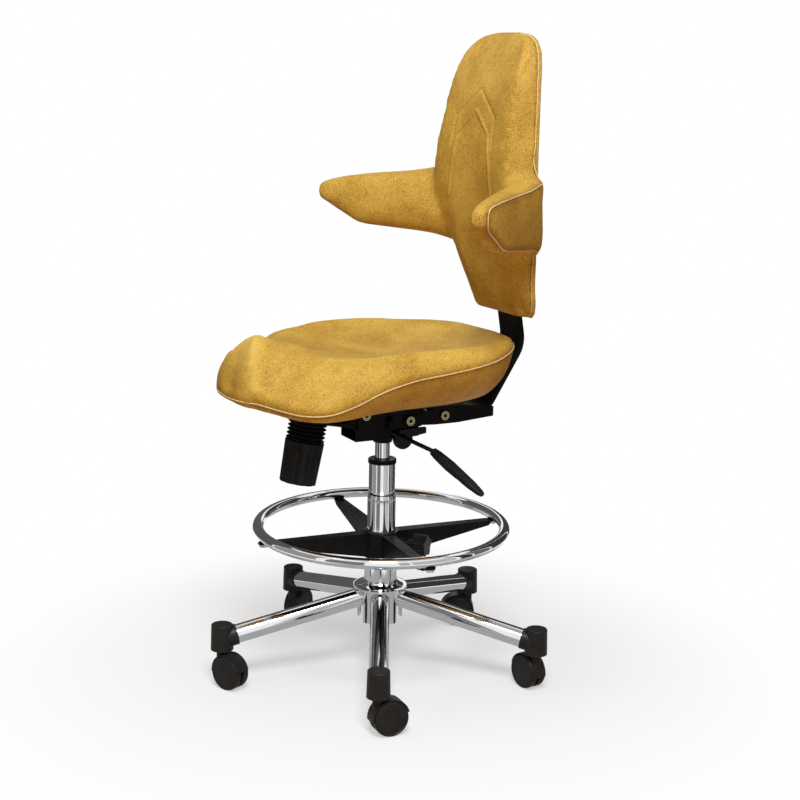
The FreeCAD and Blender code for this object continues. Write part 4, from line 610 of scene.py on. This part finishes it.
# %% Seat leather
SEAT_SEAM_REACH = 14 * MM
PAN_REACH = 6 * MM
remeshed(seat_leather)
seat_points = spots(seat_leather)
near_seam = close_to(seat_points, seam, SEAT_SEAM_REACH)
on_pan = np.clip((PAN_TOP * MM + PAN_REACH - seat_points[:, 2]) / PAN_REACH, 0, 1)
smoothed(seat_leather, np.clip(1 - near_seam, 0.15, 1), turns=6)
puffed(seat_leather, np.maximum(near_seam, on_pan), pressure=3.0, cap=5 * MM)
refined(seat_leather)
print("seat:", len(seat_leather.data.polygons), "faces")

# %% [markdown]
# The pommel is a tent of leather: a ridge runs up from each front corner to the peak, the cheeks and the
# nose beside it are hollow, and a fold lies behind it where the thighs go. More stations could hold that.
# As bells round a few curves, each ridge and hollow keeps a height and a width of its own.

# %% Pommel
# curves on the sitter's left half, in mm
PROW = ((91, -292, 572), (84, -296, 592), (70, -295, 620), (49, -288, 641), (25, -274, 657), (0, -253, 668))
PEAK = PROW[3:]
CHEEK = ((112, -262, 600), (98, -250, 625), (72, -238, 645), (40, -228, 658))
NOSE = ((0, -313, 585), (0, -306, 610), (0, -296, 632))
FOLD = ((18, -219, 656), (60, -202, 648), (108, -189, 641), (150, -180, 634))
CREASE = ((152, -181, 636), (134, -158, 641), (109, -129, 642))
# curve, height of its bell and width of its bell, in mm
POMMEL = ((PROW, 4.0, 11), (PEAK, 3.5, 15), (FOLD, -4.0, 16), (CHEEK, -6.0, 18), (NOSE, -7.0, 26),
          (CREASE, -1.6, 6))
FLAT_BY_SEAM = 16 * MM


def bell(distance, width):
    """exp(-(d / w)^2): one at no distance, nought far away."""
    return np.exp(-(distance / width) ** 2)


def both_sides(marks):
    """Points along a curve through marks in mm, and its mirror image."""
    step = np.arange(len(marks), dtype=float)
    line = through(step, np.array(marks) * MM, np.linspace(0, step[-1], 60))
    return np.vstack([line, line * MIRROR])


def welt(points, marks, width):
    """Bell of a width round a curve and its mirror image."""
    return bell(distance_to(points, both_sides(marks)), width)


seat_points = spots(seat_leather)
off_seam = np.clip(distance_to(seat_points, seam) / FLAT_BY_SEAM - 0.3, 0, 1)
relief = sum(height * welt(seat_points, curve, width * MM) for curve, height, width in POMMEL)
move_spots(seat_leather, seat_points + outward(seat_leather) * (off_seam * MM * relief)[:, None])
print("pommel relief mm:", round(float(relief.min()), 1), "to", round(float(relief.max()), 1))

# %% [markdown]
# The seat is leather above and black dust cloth below, as under most chairs. Two meshes could carry them,
# but one mesh with a finish for each face leaves no gap.

# %% Seat finishes
# widths of the darkening along the seams and of the painted highlight on the pommel's ridges
SEAM_DARK_W, RIDGE_HIGHLIGHT_W = 8 * MM, 17 * MM
dust_cloth = make_plain("black dust cloth", ((0.006,) * 3, (0.012,) * 3), 0.8,
                        grain=1800.0, relief=0.2 * MM, sheen=0.1)


def darken_seams_and_highlight(piece, path, ridge_highlight=0.0):
    """Attribute seam: one on a path, fading beside it, and lowered by a painted highlight where one is given."""
    fading = bell(distance_to(spots(piece), path), SEAM_DARK_W) - ridge_highlight
    piece.data.attributes.new("seam", "FLOAT", "POINT").data.foreach_set("value", fading)


# Darker along the seat's seam, and a painted highlight along the pommel's ridges, which lightens the leather
# there.
darken_seams_and_highlight(seat_leather, seam, 0.8 * off_seam * welt(seat_points, PROW, RIDGE_HIGHLIGHT_W))
shade_smooth(seat_leather)
seat_leather.data.materials.append(leather)
seat_leather.data.materials.append(dust_cloth)
below = triples(seat_leather.data.polygons, "center")[:, 2] < (PAN_TOP + 2.0) * MM
seat_leather.data.polygons.foreach_set("material_index", below.astype(np.int32))
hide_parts("seat_cushion")
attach(seat_leather, "seat")
print("faces under dust cloth:", int(below.sum()))

# %% [markdown]
# Piping is a thin cord in a strip of pale leather, sewn into the seam. It could be a bevelled curve, but a
# tube worked out along the seam is a plain mesh, which the export takes as it is. The seam is drawn on to the
# swollen leather first, and only the smooth part of that move is kept, so the cord doesn't waver.

# %% Seat piping
PIPING_R = 1.25 * MM
PIPING_LIFT = 0.5 * MM


def laid_on(path, piece, turns):
    """Path drawn on to a piece's surface and lifted a little off it, by moves that are evened."""
    line = add_piece("line", path, [])
    changed_by(line, "SHRINKWRAP", target=piece, wrap_method="NEAREST_SURFACEPOINT",
               wrap_mode="ABOVE_SURFACE", offset=PIPING_LIFT)
    drawn = spots(line)
    bpy.data.objects.remove(line)
    return path + evened(drawn - path, turns)


def add_cordlike(name, path, radius, across, closed=True):
    """Round welt or wire as a piece: path + r (cos a u + sin a v), with u and v square to the path and
    across a direction that the path never follows."""
    sides = 10
    tangent = np.roll(path, -1, axis=0) - np.roll(path, 1, axis=0) if closed else np.gradient(path, axis=0)
    tangent /= np.linalg.norm(tangent, axis=1, keepdims=True)
    u = np.cross(tangent, across)
    u /= np.linalg.norm(u, axis=1, keepdims=True)
    v = np.cross(tangent, u)
    angle = np.linspace(0, 2 * np.pi, sides, endpoint=False)[None, :, None]
    rings = path[:, None] + radius * (np.cos(angle) * u[:, None] + np.sin(angle) * v[:, None])
    points = rings.reshape(-1, 3)
    faces = grid_faces(len(path), sides, loop_rows=closed)
    if not closed:
        faces += end_faces(len(path), sides)
    piece = add_piece(name, points, facing_out(points, faces))
    shade_smooth(piece)
    return piece


seat_path = laid_on(seam, seat_leather, turns=30)
seat_piping = add_cordlike("seat_piping", seat_path, PIPING_R, (0, 0, 1))
seat_piping.data.materials.append(piping_leather)
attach(seat_piping, "seat")
print("seat piping:", len(seat_piping.data.vertices), "points")

# %% [markdown]
# ## The back and its arm wings
# The back is a tall board of foam whose front panel is flanked by bevels. The arms grow out of those bevels
# in one leather cover. Boolean joins would leave hard edges, so the three forms are laid into each other,
# remeshed into one skin, and softened where they meet.

# %% Back stations
# height, piping half width and Y, ridge half width and Y, hollow of the front panel
BACK = np.array((
    (692, 95, 260.5, 66, 241, 2),
    (697, 102, 259.6, 72.5, 237, 2),
    (706, 106.5, 258.1, 76, 232.6, 2.5),
    (753, 116, 250, 83, 214.5, 4),
    (808, 131, 240.5, 96, 198.5, 5),
    (860, 145, 231.5, 112, 183.5, 6),
    (905, 152, 225, 124, 173.5, 6),
    (950, 157, 221.5, 133.5, 168.5, 6),
    (1003, 152, 224, 132.5, 173.5, 6),
    (1066, 142, 230.5, 125, 183.5, 5),
    (1123, 132, 237, 118.5, 195.5, 4),
    (1163, 123, 242.5, 111, 208.5, 3),
    (1191, 110, 246.5, 98, 222.5, 2),
    (1206, 91, 248.5, 80, 234, 1.2),
    (1213.5, 66, 249.5, 57, 240.5, 0.8),
    (1217, 33, 249.8, 28, 244.5, 0.5),
))
BACK_FOOT, BACK_TOP = BACK[0, 0], BACK[-1, 0]
BACK_ROWS = 110


def back_edge(heights):
    """Half width and Y of the back's piped edge at some heights, in mm."""
    return through(BACK[:, 0], BACK[:, 1:3], heights).T


def back_rings(rows):
    """Level rings of the back: flat rear, straight bevels, and between the ridges
    y = ridge_y + hollow (1 - (x / ridge_x)^2)."""
    z = np.linspace(BACK_FOOT, BACK_TOP, rows)
    pipe_x, pipe_y, ridge_x, ridge_y, hollow = through(BACK[:, 0], BACK[:, 1:], z).T[:, :, None]
    rear = np.linspace(-1, 1, 24, endpoint=False)
    bevel = np.linspace(0, 1, 8, endpoint=False)
    front = np.linspace(1, -1, 24, endpoint=False)
    parts = [np.stack([pipe_x * rear, pipe_y + 0 * rear], 2),
             np.stack([pipe_x + (ridge_x - pipe_x) * bevel, pipe_y + (ridge_y - pipe_y) * bevel], 2),
             np.stack([ridge_x * front, ridge_y + hollow * (1 - front ** 2)], 2),
             np.stack([-ridge_x + (ridge_x - pipe_x) * bevel, ridge_y + (pipe_y - ridge_y) * bevel], 2)]
    ring = np.concatenate(parts, axis=1)
    height = np.broadcast_to(z[:, None], ring.shape[:2])
    return np.concatenate([ring, height[..., None]], axis=2) * MM


skins = [closed_loft("back_skin", back_rings(BACK_ROWS))]
print("plain back:", len(skins[0].data.vertices), "points")

# %% [markdown]
# An arm wing is a padded paddle, flat outside and round inside, that reaches forward from the back's edge.
# It could be a stretched box. A superellipse, which one power turns from round to square, draws both sides
# with one formula, and stations along the wing give its thickness and its two edges.

# %% Wing stations
# share of the length, half thickness, low edge and high edge of a wing
WING = np.array((
    (-0.3, 39, 804, 986),
    (-0.1, 38, 815, 974),
    (0.06, 36, 827, 960),
    (0.28, 33, 834, 949),
    (0.52, 29, 839, 943),
    (0.64, 26.5, 842, 940),
    (0.69, 25, 845, 938),
    (0.75, 23.5, 854, 936),
    (0.84, 20.5, 868, 932),
    (0.93, 16.5, 882, 926),
    (0.98, 13, 889.5, 920.5),
    (1, 9, 893.5, 916),
))
# middle of the section at the wing's root and tip, x and y
WING_ROOT = np.array([150.0, 208.0])
WING_TIP = np.array([314.0, 9.0])
WING_SQUARE, WING_ROUND = 6.0, 2.8
WING_LEAN = 0.22
WING_ROWS, WING_AROUND = 60, 64
SIDES = (1.0, -1.0)


def wing_at(share, turn, side):
    """Point of a wing at a share of its length and a turn t round its section: out half |cos t|^(2/n), up
    half |sin t|^(2/n), with n larger outside than inside. It is drawn in to the rear seam of the back
    where the root would stand out behind it."""
    half, low, high = through(WING[:, 0], WING[:, 1:], share).T
    ahead = (WING_TIP - WING_ROOT) / np.linalg.norm(WING_TIP - WING_ROOT)
    outside = np.array([-ahead[1], ahead[0]])
    power = 2.0 / np.where(np.cos(turn) > 0, WING_SQUARE, WING_ROUND)
    out = half * np.sign(np.cos(turn)) * np.abs(np.cos(turn)) ** power
    out = out * (1 + WING_LEAN * np.sin(turn) * (out > 0))
    rise = 0.5 * (high - low) * np.sign(np.sin(turn)) * np.abs(np.sin(turn)) ** power
    flat = WING_ROOT + share[:, None] * (WING_TIP - WING_ROOT) + out[:, None] * outside
    z = 0.5 * (low + high) + rise
    y = np.minimum(flat[:, 1], back_edge(z)[1])
    return np.stack([flat[:, 0] * side, y, z], axis=1) * MM


def wing_rings(rows, around, side):
    """Rings of a wing from its root to its tip, closer together towards the tip."""
    share = WING[0, 0] + (1 - WING[0, 0]) * (1 - (1 - np.linspace(0, 1, rows)) ** 1.4)
    turn = np.linspace(0, 2 * np.pi, around, endpoint=False)
    grid_share, grid_turn = np.meshgrid(share, turn, indexing="ij")
    return wing_at(grid_share.ravel(), grid_turn.ravel(), side).reshape(rows, around, 3)


skins += [closed_loft("wing_skin", wing_rings(WING_ROWS, WING_AROUND, side)) for side in SIDES]
print("wings:", len(skins) - 1)

# %% [markdown]
# One piped seam runs round the back: up its edge, out along the low edge of a wing, round the wing's front,
# home along its high edge, and on to the top. It could be traced on the finished skin. Written as turns
# round the wing's section, it stays on the wing when a station changes.

# %% Seam of the back and the arms
BACK_SEAM_POINTS = 900
# heights where the seam leaves the back's edge for the wing and comes back, and where the top rounds over
WING_BELOW, WING_ABOVE = 816.0, 992.0
TOP_ROUND = (1150.0, 1160.0)
# share of the wing's length, and turn round its section in degrees
WING_SEAM = np.array((
    (0.0, -58), (0.1, -60), (0.25, -60), (0.45, -58), (0.62, -54), (0.72, -47), (0.82, -44), (0.91, -38),
    (0.955, 0), (0.93, 40), (0.83, 45), (0.66, 46), (0.46, 46), (0.28, 46), (0.12, 46), (-0.02, 44)))


def edge_points(heights):
    """Points of the back's piped edge on the sitter's left."""
    half_width, rear = back_edge(heights)
    return np.stack([half_width, rear, heights], axis=1) * MM


def back_seam():
    """Left half of the piped seam, from the foot of the back up to its top."""
    lower = edge_points(np.linspace(BACK_FOOT, WING_BELOW, 14))
    fine = through(np.linspace(0, 1, len(WING_SEAM)), WING_SEAM, np.linspace(0, 1, 120))
    loop = wing_at(fine[:, 0], np.radians(fine[:, 1]), 1.0)
    straight = np.linspace(WING_ABOVE, TOP_ROUND[0], 18)
    upper = edge_points(np.concatenate([straight, np.linspace(TOP_ROUND[1], BACK_TOP, 12)]))
    return np.vstack([lower, loop, upper])


half_seam = back_seam()
back_line = evened(evenly_spaced(np.vstack([half_seam, half_seam[::-1] * MIRROR]), BACK_SEAM_POINTS), 6)
print("back seam:", round(float(length_along(back_line)[-1]), 3), "m long")

# %% [markdown]
# The three skins become one mesh, and the remesher melts them together. Smoothing is strong where a wing
# meets the back, which gives the fillet that the sewn cover has there, and weak elsewhere. The cloth is
# pinned along the seam and on the rear face, which lies on the board.

# %% Back leather
ROOT_SHARES = (-0.02, 0.06, 0.14)
MEETING_REACH = 36 * MM
BACK_SEAM_REACH = 12 * MM
REAR_REACH = 5 * MM
joined = bmesh.new()
for skin in skins:
    joined.from_mesh(skin.data)
    bpy.data.objects.remove(skin)
back_leather = add_piece("back_leather", np.empty((0, 3)), [])
joined.to_mesh(back_leather.data)
joined.free()
remeshed(back_leather)
back_points = spots(back_leather)
around = np.linspace(0, 2 * np.pi, 60, endpoint=False)
root_lines = [wing_at(np.full(60, share), around, side) for share in ROOT_SHARES for side in SIDES]
meeting = close_to(back_points, np.vstack(root_lines), MEETING_REACH, margin=0.3)
near_seam = close_to(back_points, back_line, BACK_SEAM_REACH)
smoothed(back_leather, np.maximum(meeting, 0.12) * (1 - 0.75 * near_seam * (meeting < 0.5)), turns=30)
rear_gap = back_edge(back_points[:, 2] / MM)[1] * MM - spots(back_leather)[:, 1]
behind = np.clip((REAR_REACH - rear_gap) / REAR_REACH, 0, 1)
behind *= np.abs(back_points[:, 0]) < WING_ROOT[0] * MM
puffed(back_leather, np.maximum(near_seam, behind), pressure=2.5, cap=4 * MM)
refined(back_leather)
print("back:", len(back_leather.data.polygons), "faces")

# %% [markdown]
# The front of the back carries two sewn arches, one inside the other: the outer one is a sunk seam, the
# inner one a raised welt. A bump in the finish would be quicker, but it would be missing from the mesh, so
# both are worked into the skin as small moves along its normals.

# %% Arches on the back
OUTER_ARCH = np.array(((-74, 1010), (-70, 1063), (0, 1114), (70, 1063), (74, 1010))) * MM
INNER_ARCH = np.array(((-80, 912), (-62, 1000), (-54, 1033), (0, 1074),
                       (54, 1033), (62, 1000), (80, 912))) * MM
SUNK_W, SUNK_H = 2.9 * MM, 2.2 * MM
RAISED_W, RAISED_H = 3.0 * MM, 2.4 * MM
FRONT_PANEL_Y = 215 * MM


def polyline_distance(points, line):
    """Distance in the plane from each point to a polyline."""
    start, end = line[:-1], line[1:]
    run = end - start
    t = np.einsum("nsk,sk->ns", points[:, None] - start[None], run) / np.einsum("sk,sk->s", run, run)
    foot = start[None] + np.clip(t, 0, 1)[..., None] * run[None]
    return np.linalg.norm(points[:, None] - foot, axis=2).min(axis=1)


back_points = spots(back_leather)
facing = outward(back_leather)
flat = back_points[:, [0, 2]]
in_front = np.clip(-facing[:, 1] * 2 - 0.6, 0, 1) * (back_points[:, 1] < FRONT_PANEL_Y)
raised = RAISED_H * bell(polyline_distance(flat, INNER_ARCH), RAISED_W)
sunk = SUNK_H * bell(polyline_distance(flat, OUTER_ARCH), SUNK_W)
move_spots(back_leather, back_points + facing * (in_front * (raised - sunk))[:, None])
# Darker along the back's piped seam.
darken_seams_and_highlight(back_leather, back_line)
shade_smooth(back_leather)
back_leather.data.materials.append(leather)
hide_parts("back_cushion", "arm_left", "arm_right")
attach(back_leather, "back")
print("points moved by the arches:", int((in_front * (raised + sunk) > 0.1 * MM).sum()))

# %% [markdown]
# The back's piping is the same cord as the seat's, laid on the swollen skin in the same way.

# %% Back piping
back_path = evenly_spaced(laid_on(back_line, back_leather, turns=40), BACK_SEAM_POINTS)
back_piping = add_cordlike("back_piping", back_path, PIPING_R, (0.02, 1, 0.03))
back_piping.data.materials.append(piping_leather)
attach(back_piping, "back")
print("back piping:", len(back_piping.data.vertices), "points")

# %% [markdown]
# The rear of the back is a board in the same leather, to which the steel bar is bolted. A flat plate would
# have sharp edges, so rings follow the seam line, round over to the rear face, and shrink to the middle.

# %% Rear board
BOARD_T = 6.5
BOARD_MIDDLE = np.array([0.0, 930.0])
# heights where the outline's wide steps end and its close ones start
BOARD_ROUND = (1150.0, 1156.0)
# share of the outline's size, and depth behind the seam line
BOARD_STEPS = ((1.0, 0.2), (1.0, 3.4), (0.992, 5.4), (0.978, BOARD_T), (0.8, BOARD_T), (0.5, BOARD_T),
               (0.2, BOARD_T))


def board_rings():
    """Rings of the rear board: middle + share (outline - middle), each at its depth behind the seam line."""
    wide = np.linspace(BACK_FOOT, BOARD_ROUND[0], 60)
    z = np.concatenate([wide, np.linspace(BOARD_ROUND[1], BACK_TOP, 30)])
    left = np.stack([back_edge(z)[0], z], axis=1)
    outline = np.vstack([left, left[::-1] * MIRROR[:2]])
    rings = []
    for share, depth in BOARD_STEPS:
        flat = BOARD_MIDDLE + (outline - BOARD_MIDDLE) * share
        rings.append(np.stack([flat[:, 0], back_edge(flat[:, 1])[1] + depth, flat[:, 1]], axis=1))
    return np.array(rings) * MM


back_panel = closed_loft("back_panel", board_rings())
shade_smooth(back_panel)
back_panel.data.materials.append(leather)
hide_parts("back_cover")
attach(back_panel, "back")
print("rear board:", len(back_panel.data.polygons), "faces")

# %% [markdown]
# ## Bellows and spring
# Under the seat's front hangs the tension unit: a rubber bellows between the tongue and the hand knob, with
# the tilt spring inside. The knob rises with the seat while the tongue stays, so stiff pieces would pass
# through the tongue, and both are blended between the two bodies. The knob's joint says where the spindle is.

# %% Bellows
SPINDLE_TOP = np.array(joints["tension_turn"]["pos_m"])
SPINDLE = np.array(joints["tension_turn"]["axis"])
BESIDE = np.array([1.0, 0.0, 0.0])
ACROSS = np.cross(SPINDLE, BESIDE)
RIBS = 5
RIB_R, RIB_WAVE, RUBBER_T = 33.5, 2.5, 1.6
# ends of the bellows, measured down the spindle
BELLOWS_FROM, BELLOWS_TO = 22.0, 59.7
BELLOWS_SIDES = 72


def round_spindle(radius, run, angle):
    """Point top + s spindle + r (cos a beside + sin a across), from arrays of r and s in mm and of a."""
    turned = np.cos(angle)[..., None] * BESIDE + np.sin(angle)[..., None] * ACROSS
    return SPINDLE_TOP + (run[..., None] * SPINDLE + radius[..., None] * turned) * MM


phase = np.linspace(0, RIBS, 16 * RIBS + 1)
outer_r = RIB_R + RIB_WAVE * np.cos(2 * np.pi * (phase - 0.5))
run = BELLOWS_FROM + (BELLOWS_TO - BELLOWS_FROM) * phase / RIBS
profile_r = np.concatenate([outer_r, outer_r[::-1] - RUBBER_T])
profile_s = np.concatenate([run, run[::-1]])
angle = np.linspace(0, 2 * np.pi, BELLOWS_SIDES, endpoint=False)
shell = round_spindle(profile_r[:, None], profile_s[:, None], angle[None])
shell_faces = grid_faces(len(profile_r), BELLOWS_SIDES, loop_rows=True)
bellows = add_piece("rubber_bellows", shell.reshape(-1, 3), shell_faces)
shade_smooth(bellows)
bellows.data.materials.append(rubber)
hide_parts("bellows")
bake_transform(bellows)
print("bellows ribs:", RIBS, "points:", len(bellows.data.vertices))

# %% [markdown]
# The tilt spring is a coil of round wire. A screw modifier could wind it, but a helix is one line of numpy,
# and the piping's helper gives it its thickness.

# %% Spring
COILS = 7
COIL_R, WIRE_R = 19.0, 2.4
COIL_FROM, COIL_TO = 24.8, 122.0
coil_turn = np.linspace(0, COILS, COILS * 40 + 1)
coil_run = COIL_FROM + (COIL_TO - COIL_FROM) * coil_turn / COILS
coil = round_spindle(np.full(len(coil_turn), COIL_R), coil_run, 2 * np.pi * coil_turn)
spring = add_cordlike("coil_spring", coil, WIRE_R * MM, SPINDLE, closed=False)
spring.data.materials.append(steel)
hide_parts("tilt_spring")
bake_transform(spring)
print("spring coils:", COILS, "points:", len(spring.data.vertices))

# %% [markdown]
# ## Studio
# The chair stands on a pale floor that takes its shadow and fades to white away from it. A shadow catcher
# would lose the light that a floor throws back, so the floor is real, and what it throws back on to the chair
# is warm, as light is that has met leather.

# %% Floor
FLOOR_PAINT = (0.90, 0.93, 0.95)
FLOOR_BOUNCE = (0.74, 0.49, 0.29)
FLOOR_REACH = 9.0
# distance from the column where the fade starts and ends, and how white the floor is before it
FADE_FROM, FADE_TO, NEAR_WHITE = 0.25, 0.9, 0.5


def add_sheet(name, reach, height):
    """Level square at a height, reaching as far as given to each side."""
    corners = np.array([(-1, -1), (1, -1), (1, 1), (-1, 1)]) * reach
    return add_piece(name, np.column_stack([corners, np.full(4, height)]), [[0, 1, 2, 3]])


def seen_directly(tree, rays):
    """One for what the eye and reflections see, nought for light that falls on the chair."""
    seen = calc(tree, "MAXIMUM", rays.outputs["Is Camera Ray"], rays.outputs["Is Glossy Ray"])
    return calc(tree, "MAXIMUM", seen, rays.outputs["Is Transmission Ray"])


def make_pale_floor():
    """Matt paint that turns into even white away from the column, and is warm for bounced light."""
    material, tree, shader, place = new_finish("pale floor", 0.9)
    rays = add_node(tree, "LightPath", {})
    paint = ramp(tree, rays.outputs["Is Diffuse Ray"], ((0.0, FLOOR_PAINT), (1.0, FLOOR_BOUNCE)))
    fill(tree, shader, {"Base Color": paint, "Specular IOR Level": 0.0})
    reach = measure(tree, "LENGTH", place).outputs["Value"]
    fade = add_node(tree, "MapRange", {"Value": reach, "From Min": FADE_FROM, "From Max": FADE_TO,
                                       "To Min": NEAR_WHITE})
    fade.interpolation_type = "SMOOTHSTEP"
    white = calc(tree, "MULTIPLY", seen_directly(tree, rays), fade.outputs["Result"])
    glow = add_node(tree, "Emission", {}).outputs["Emission"]
    blend = add_node(tree, "MixShader", {"Fac": white, 1: shader.outputs["BSDF"], 2: glow})
    fill(tree, tree.nodes["Material Output"], {"Surface": blend.outputs["Shader"]})
    return material


floor = add_sheet("floor", FLOOR_REACH, 0.0)
floor.data.materials.append(make_pale_floor())
print("floor reaches", FLOOR_REACH, "m each way")

# %% [markdown]
# Three lamps light the chair at a plain level: a key high on the camera's side, a weak fill from the front,
# and one overhead. Points of light would throw hard shadows, so these are squares over a metre wide.

# %% Lamps


def aimed(place, target, roll=0.0):
    """Matrix of a lamp or camera that looks from a place to a target, rolled by some degrees."""
    ahead = np.array(target) - np.array(place)
    ahead = ahead / np.linalg.norm(ahead)
    level = np.cross(ahead, (0, 0, 1.0))
    level /= np.linalg.norm(level)
    upright = np.cross(level, ahead)
    turn = np.radians(roll)
    right = np.cos(turn) * level + np.sin(turn) * upright
    above = np.cos(turn) * upright - np.sin(turn) * level
    columns = np.array([right, above, -ahead, place]).T
    return Matrix(np.vstack([columns, [0, 0, 0, 1]]).tolist())


def soft_lamp(name, place, target, size, watts):
    """Square area lamp at a place, turned to a target."""
    lamp = bpy.data.lights.new(name, "AREA")
    lamp.size = size
    lamp.energy = watts
    holder = bpy.data.objects.new(name, lamp)
    holder.matrix_world = aimed(place, target)
    bpy.context.scene.collection.objects.link(holder)


soft_lamp("key", (2.35, -1.05, 3.4), target=(0, 0, 0.7), size=1.2, watts=124)
soft_lamp("fill", (-0.8, -3.2, 2.2), target=(0, 0, 0.7), size=2.0, watts=9)
soft_lamp("top", (0.2, -0.5, 3.4), target=(0, 0, 0.6), size=1.6, watts=20)
print("lamps:", len(bpy.data.lights))

# %% [markdown]
# Chrome shows its roundness only when something dark stands around it. An image of a studio could be wrapped
# round the scene, but black and grey cards do it with meshes alone, where photographers put them. Only
# reflections see them.

# %% Cards
CARD_R = 0.95
CAMERA_BEARING = -27.0
# bearing from the camera's and width, both in degrees, height in metres, and shade
CARDS = ((-138, 84, 1.3, 0.10), (-72, 44, 1.2, 0.32), (-27, 30, 0.9, 0.20), (18, 8, 0.9, 0.5),
         (42, 36, 0.9, 0.55), (70, 12, 1.3, 0.03), (88, 20, 1.1, 0.15), (117, 34, 1.3, 0.04),
         (152, 32, 1.3, 0.05))
# name, reach to each side and height in metres, and shade
LEVEL_CARDS = (("floor card", 0.62, 0.001, 0.42), ("flag", 0.8, 1.9, 0.42))


def add_card(name, bearing, width, height, shade):
    """Upright card at a bearing round the chair, bent round the column in eight flats."""
    turn = np.radians(bearing + 0.5 * width * np.linspace(-1, 1, 9))
    rim = CARD_R * np.stack([np.cos(turn), np.sin(turn)], axis=1)
    points = np.vstack([np.column_stack([rim, np.full(9, z)]) for z in (0.0, height)])
    flat = np.arange(8)
    faces = np.stack([flat, flat + 1, flat + 10, flat + 9], axis=1).tolist()
    dress_card(add_piece(name, points, faces), shade)


def dress_card(card, shade):
    """Even shade on a card that reflections alone can see."""
    finish, tree, shader, _ = new_finish(card.name, 1.0)
    fill(tree, shader, {"Base Color": (0.0, 0.0, 0.0, 1.0), "Specular IOR Level": 0.0,
                        "Emission Color": (shade, shade, shade, 1.0), "Emission Strength": 1.0})
    card.data.materials.append(finish)
    card.visible_camera = False
    card.visible_diffuse = False
    card.visible_shadow = False


for index, (offset, width, height, shade) in enumerate(CARDS):
    add_card("card %d" % index, CAMERA_BEARING + offset, width, height, shade)
for name, reach, height, shade in LEVEL_CARDS:
    dress_card(add_sheet(name, reach, height), shade)
print("cards:", len(CARDS) + len(LEVEL_CARDS))

# %% [markdown]
# Around the studio all is white to the eye, and a dim warm glow that lifts the leather's shadows. The camera
# was worked out from the ellipses of the foot ring and the wheels in the photograph, and leans by a degree.

# %% White surround and camera
WARM_FILL = (1.0, 0.74, 0.5)
WHITE = (1.0, 1.0, 1.0)
FILL_LEVEL = 0.16
CAMERA_PLACE, CAMERA_TARGET = (2.53577, -1.29204, 1.15799), (0.0, 0.03565, 0.53375)
CAMERA_ROLL = 1.0744
LENS = 69.6
world = bpy.data.worlds.new("white surround")
bpy.context.scene.world = world
world.use_nodes = True
tree = world.node_tree
seen = seen_directly(tree, add_node(tree, "LightPath", {}))
sky_colour = ramp(tree, seen, ((0.0, WARM_FILL), (1.0, WHITE)))
sky_level = calc(tree, "MAXIMUM", seen, FILL_LEVEL)
fill(tree, tree.nodes["Background"], {"Color": sky_colour, "Strength": sky_level})

camera = bpy.data.cameras.new("camera")
camera.lens = LENS
viewer = bpy.data.objects.new("camera", camera)
viewer.matrix_world = aimed(CAMERA_PLACE, CAMERA_TARGET, CAMERA_ROLL)
bpy.context.scene.collection.objects.link(viewer)
bpy.context.scene.camera = viewer
bpy.context.scene.view_settings.view_transform = "Standard"
print("camera at", CAMERA_PLACE)
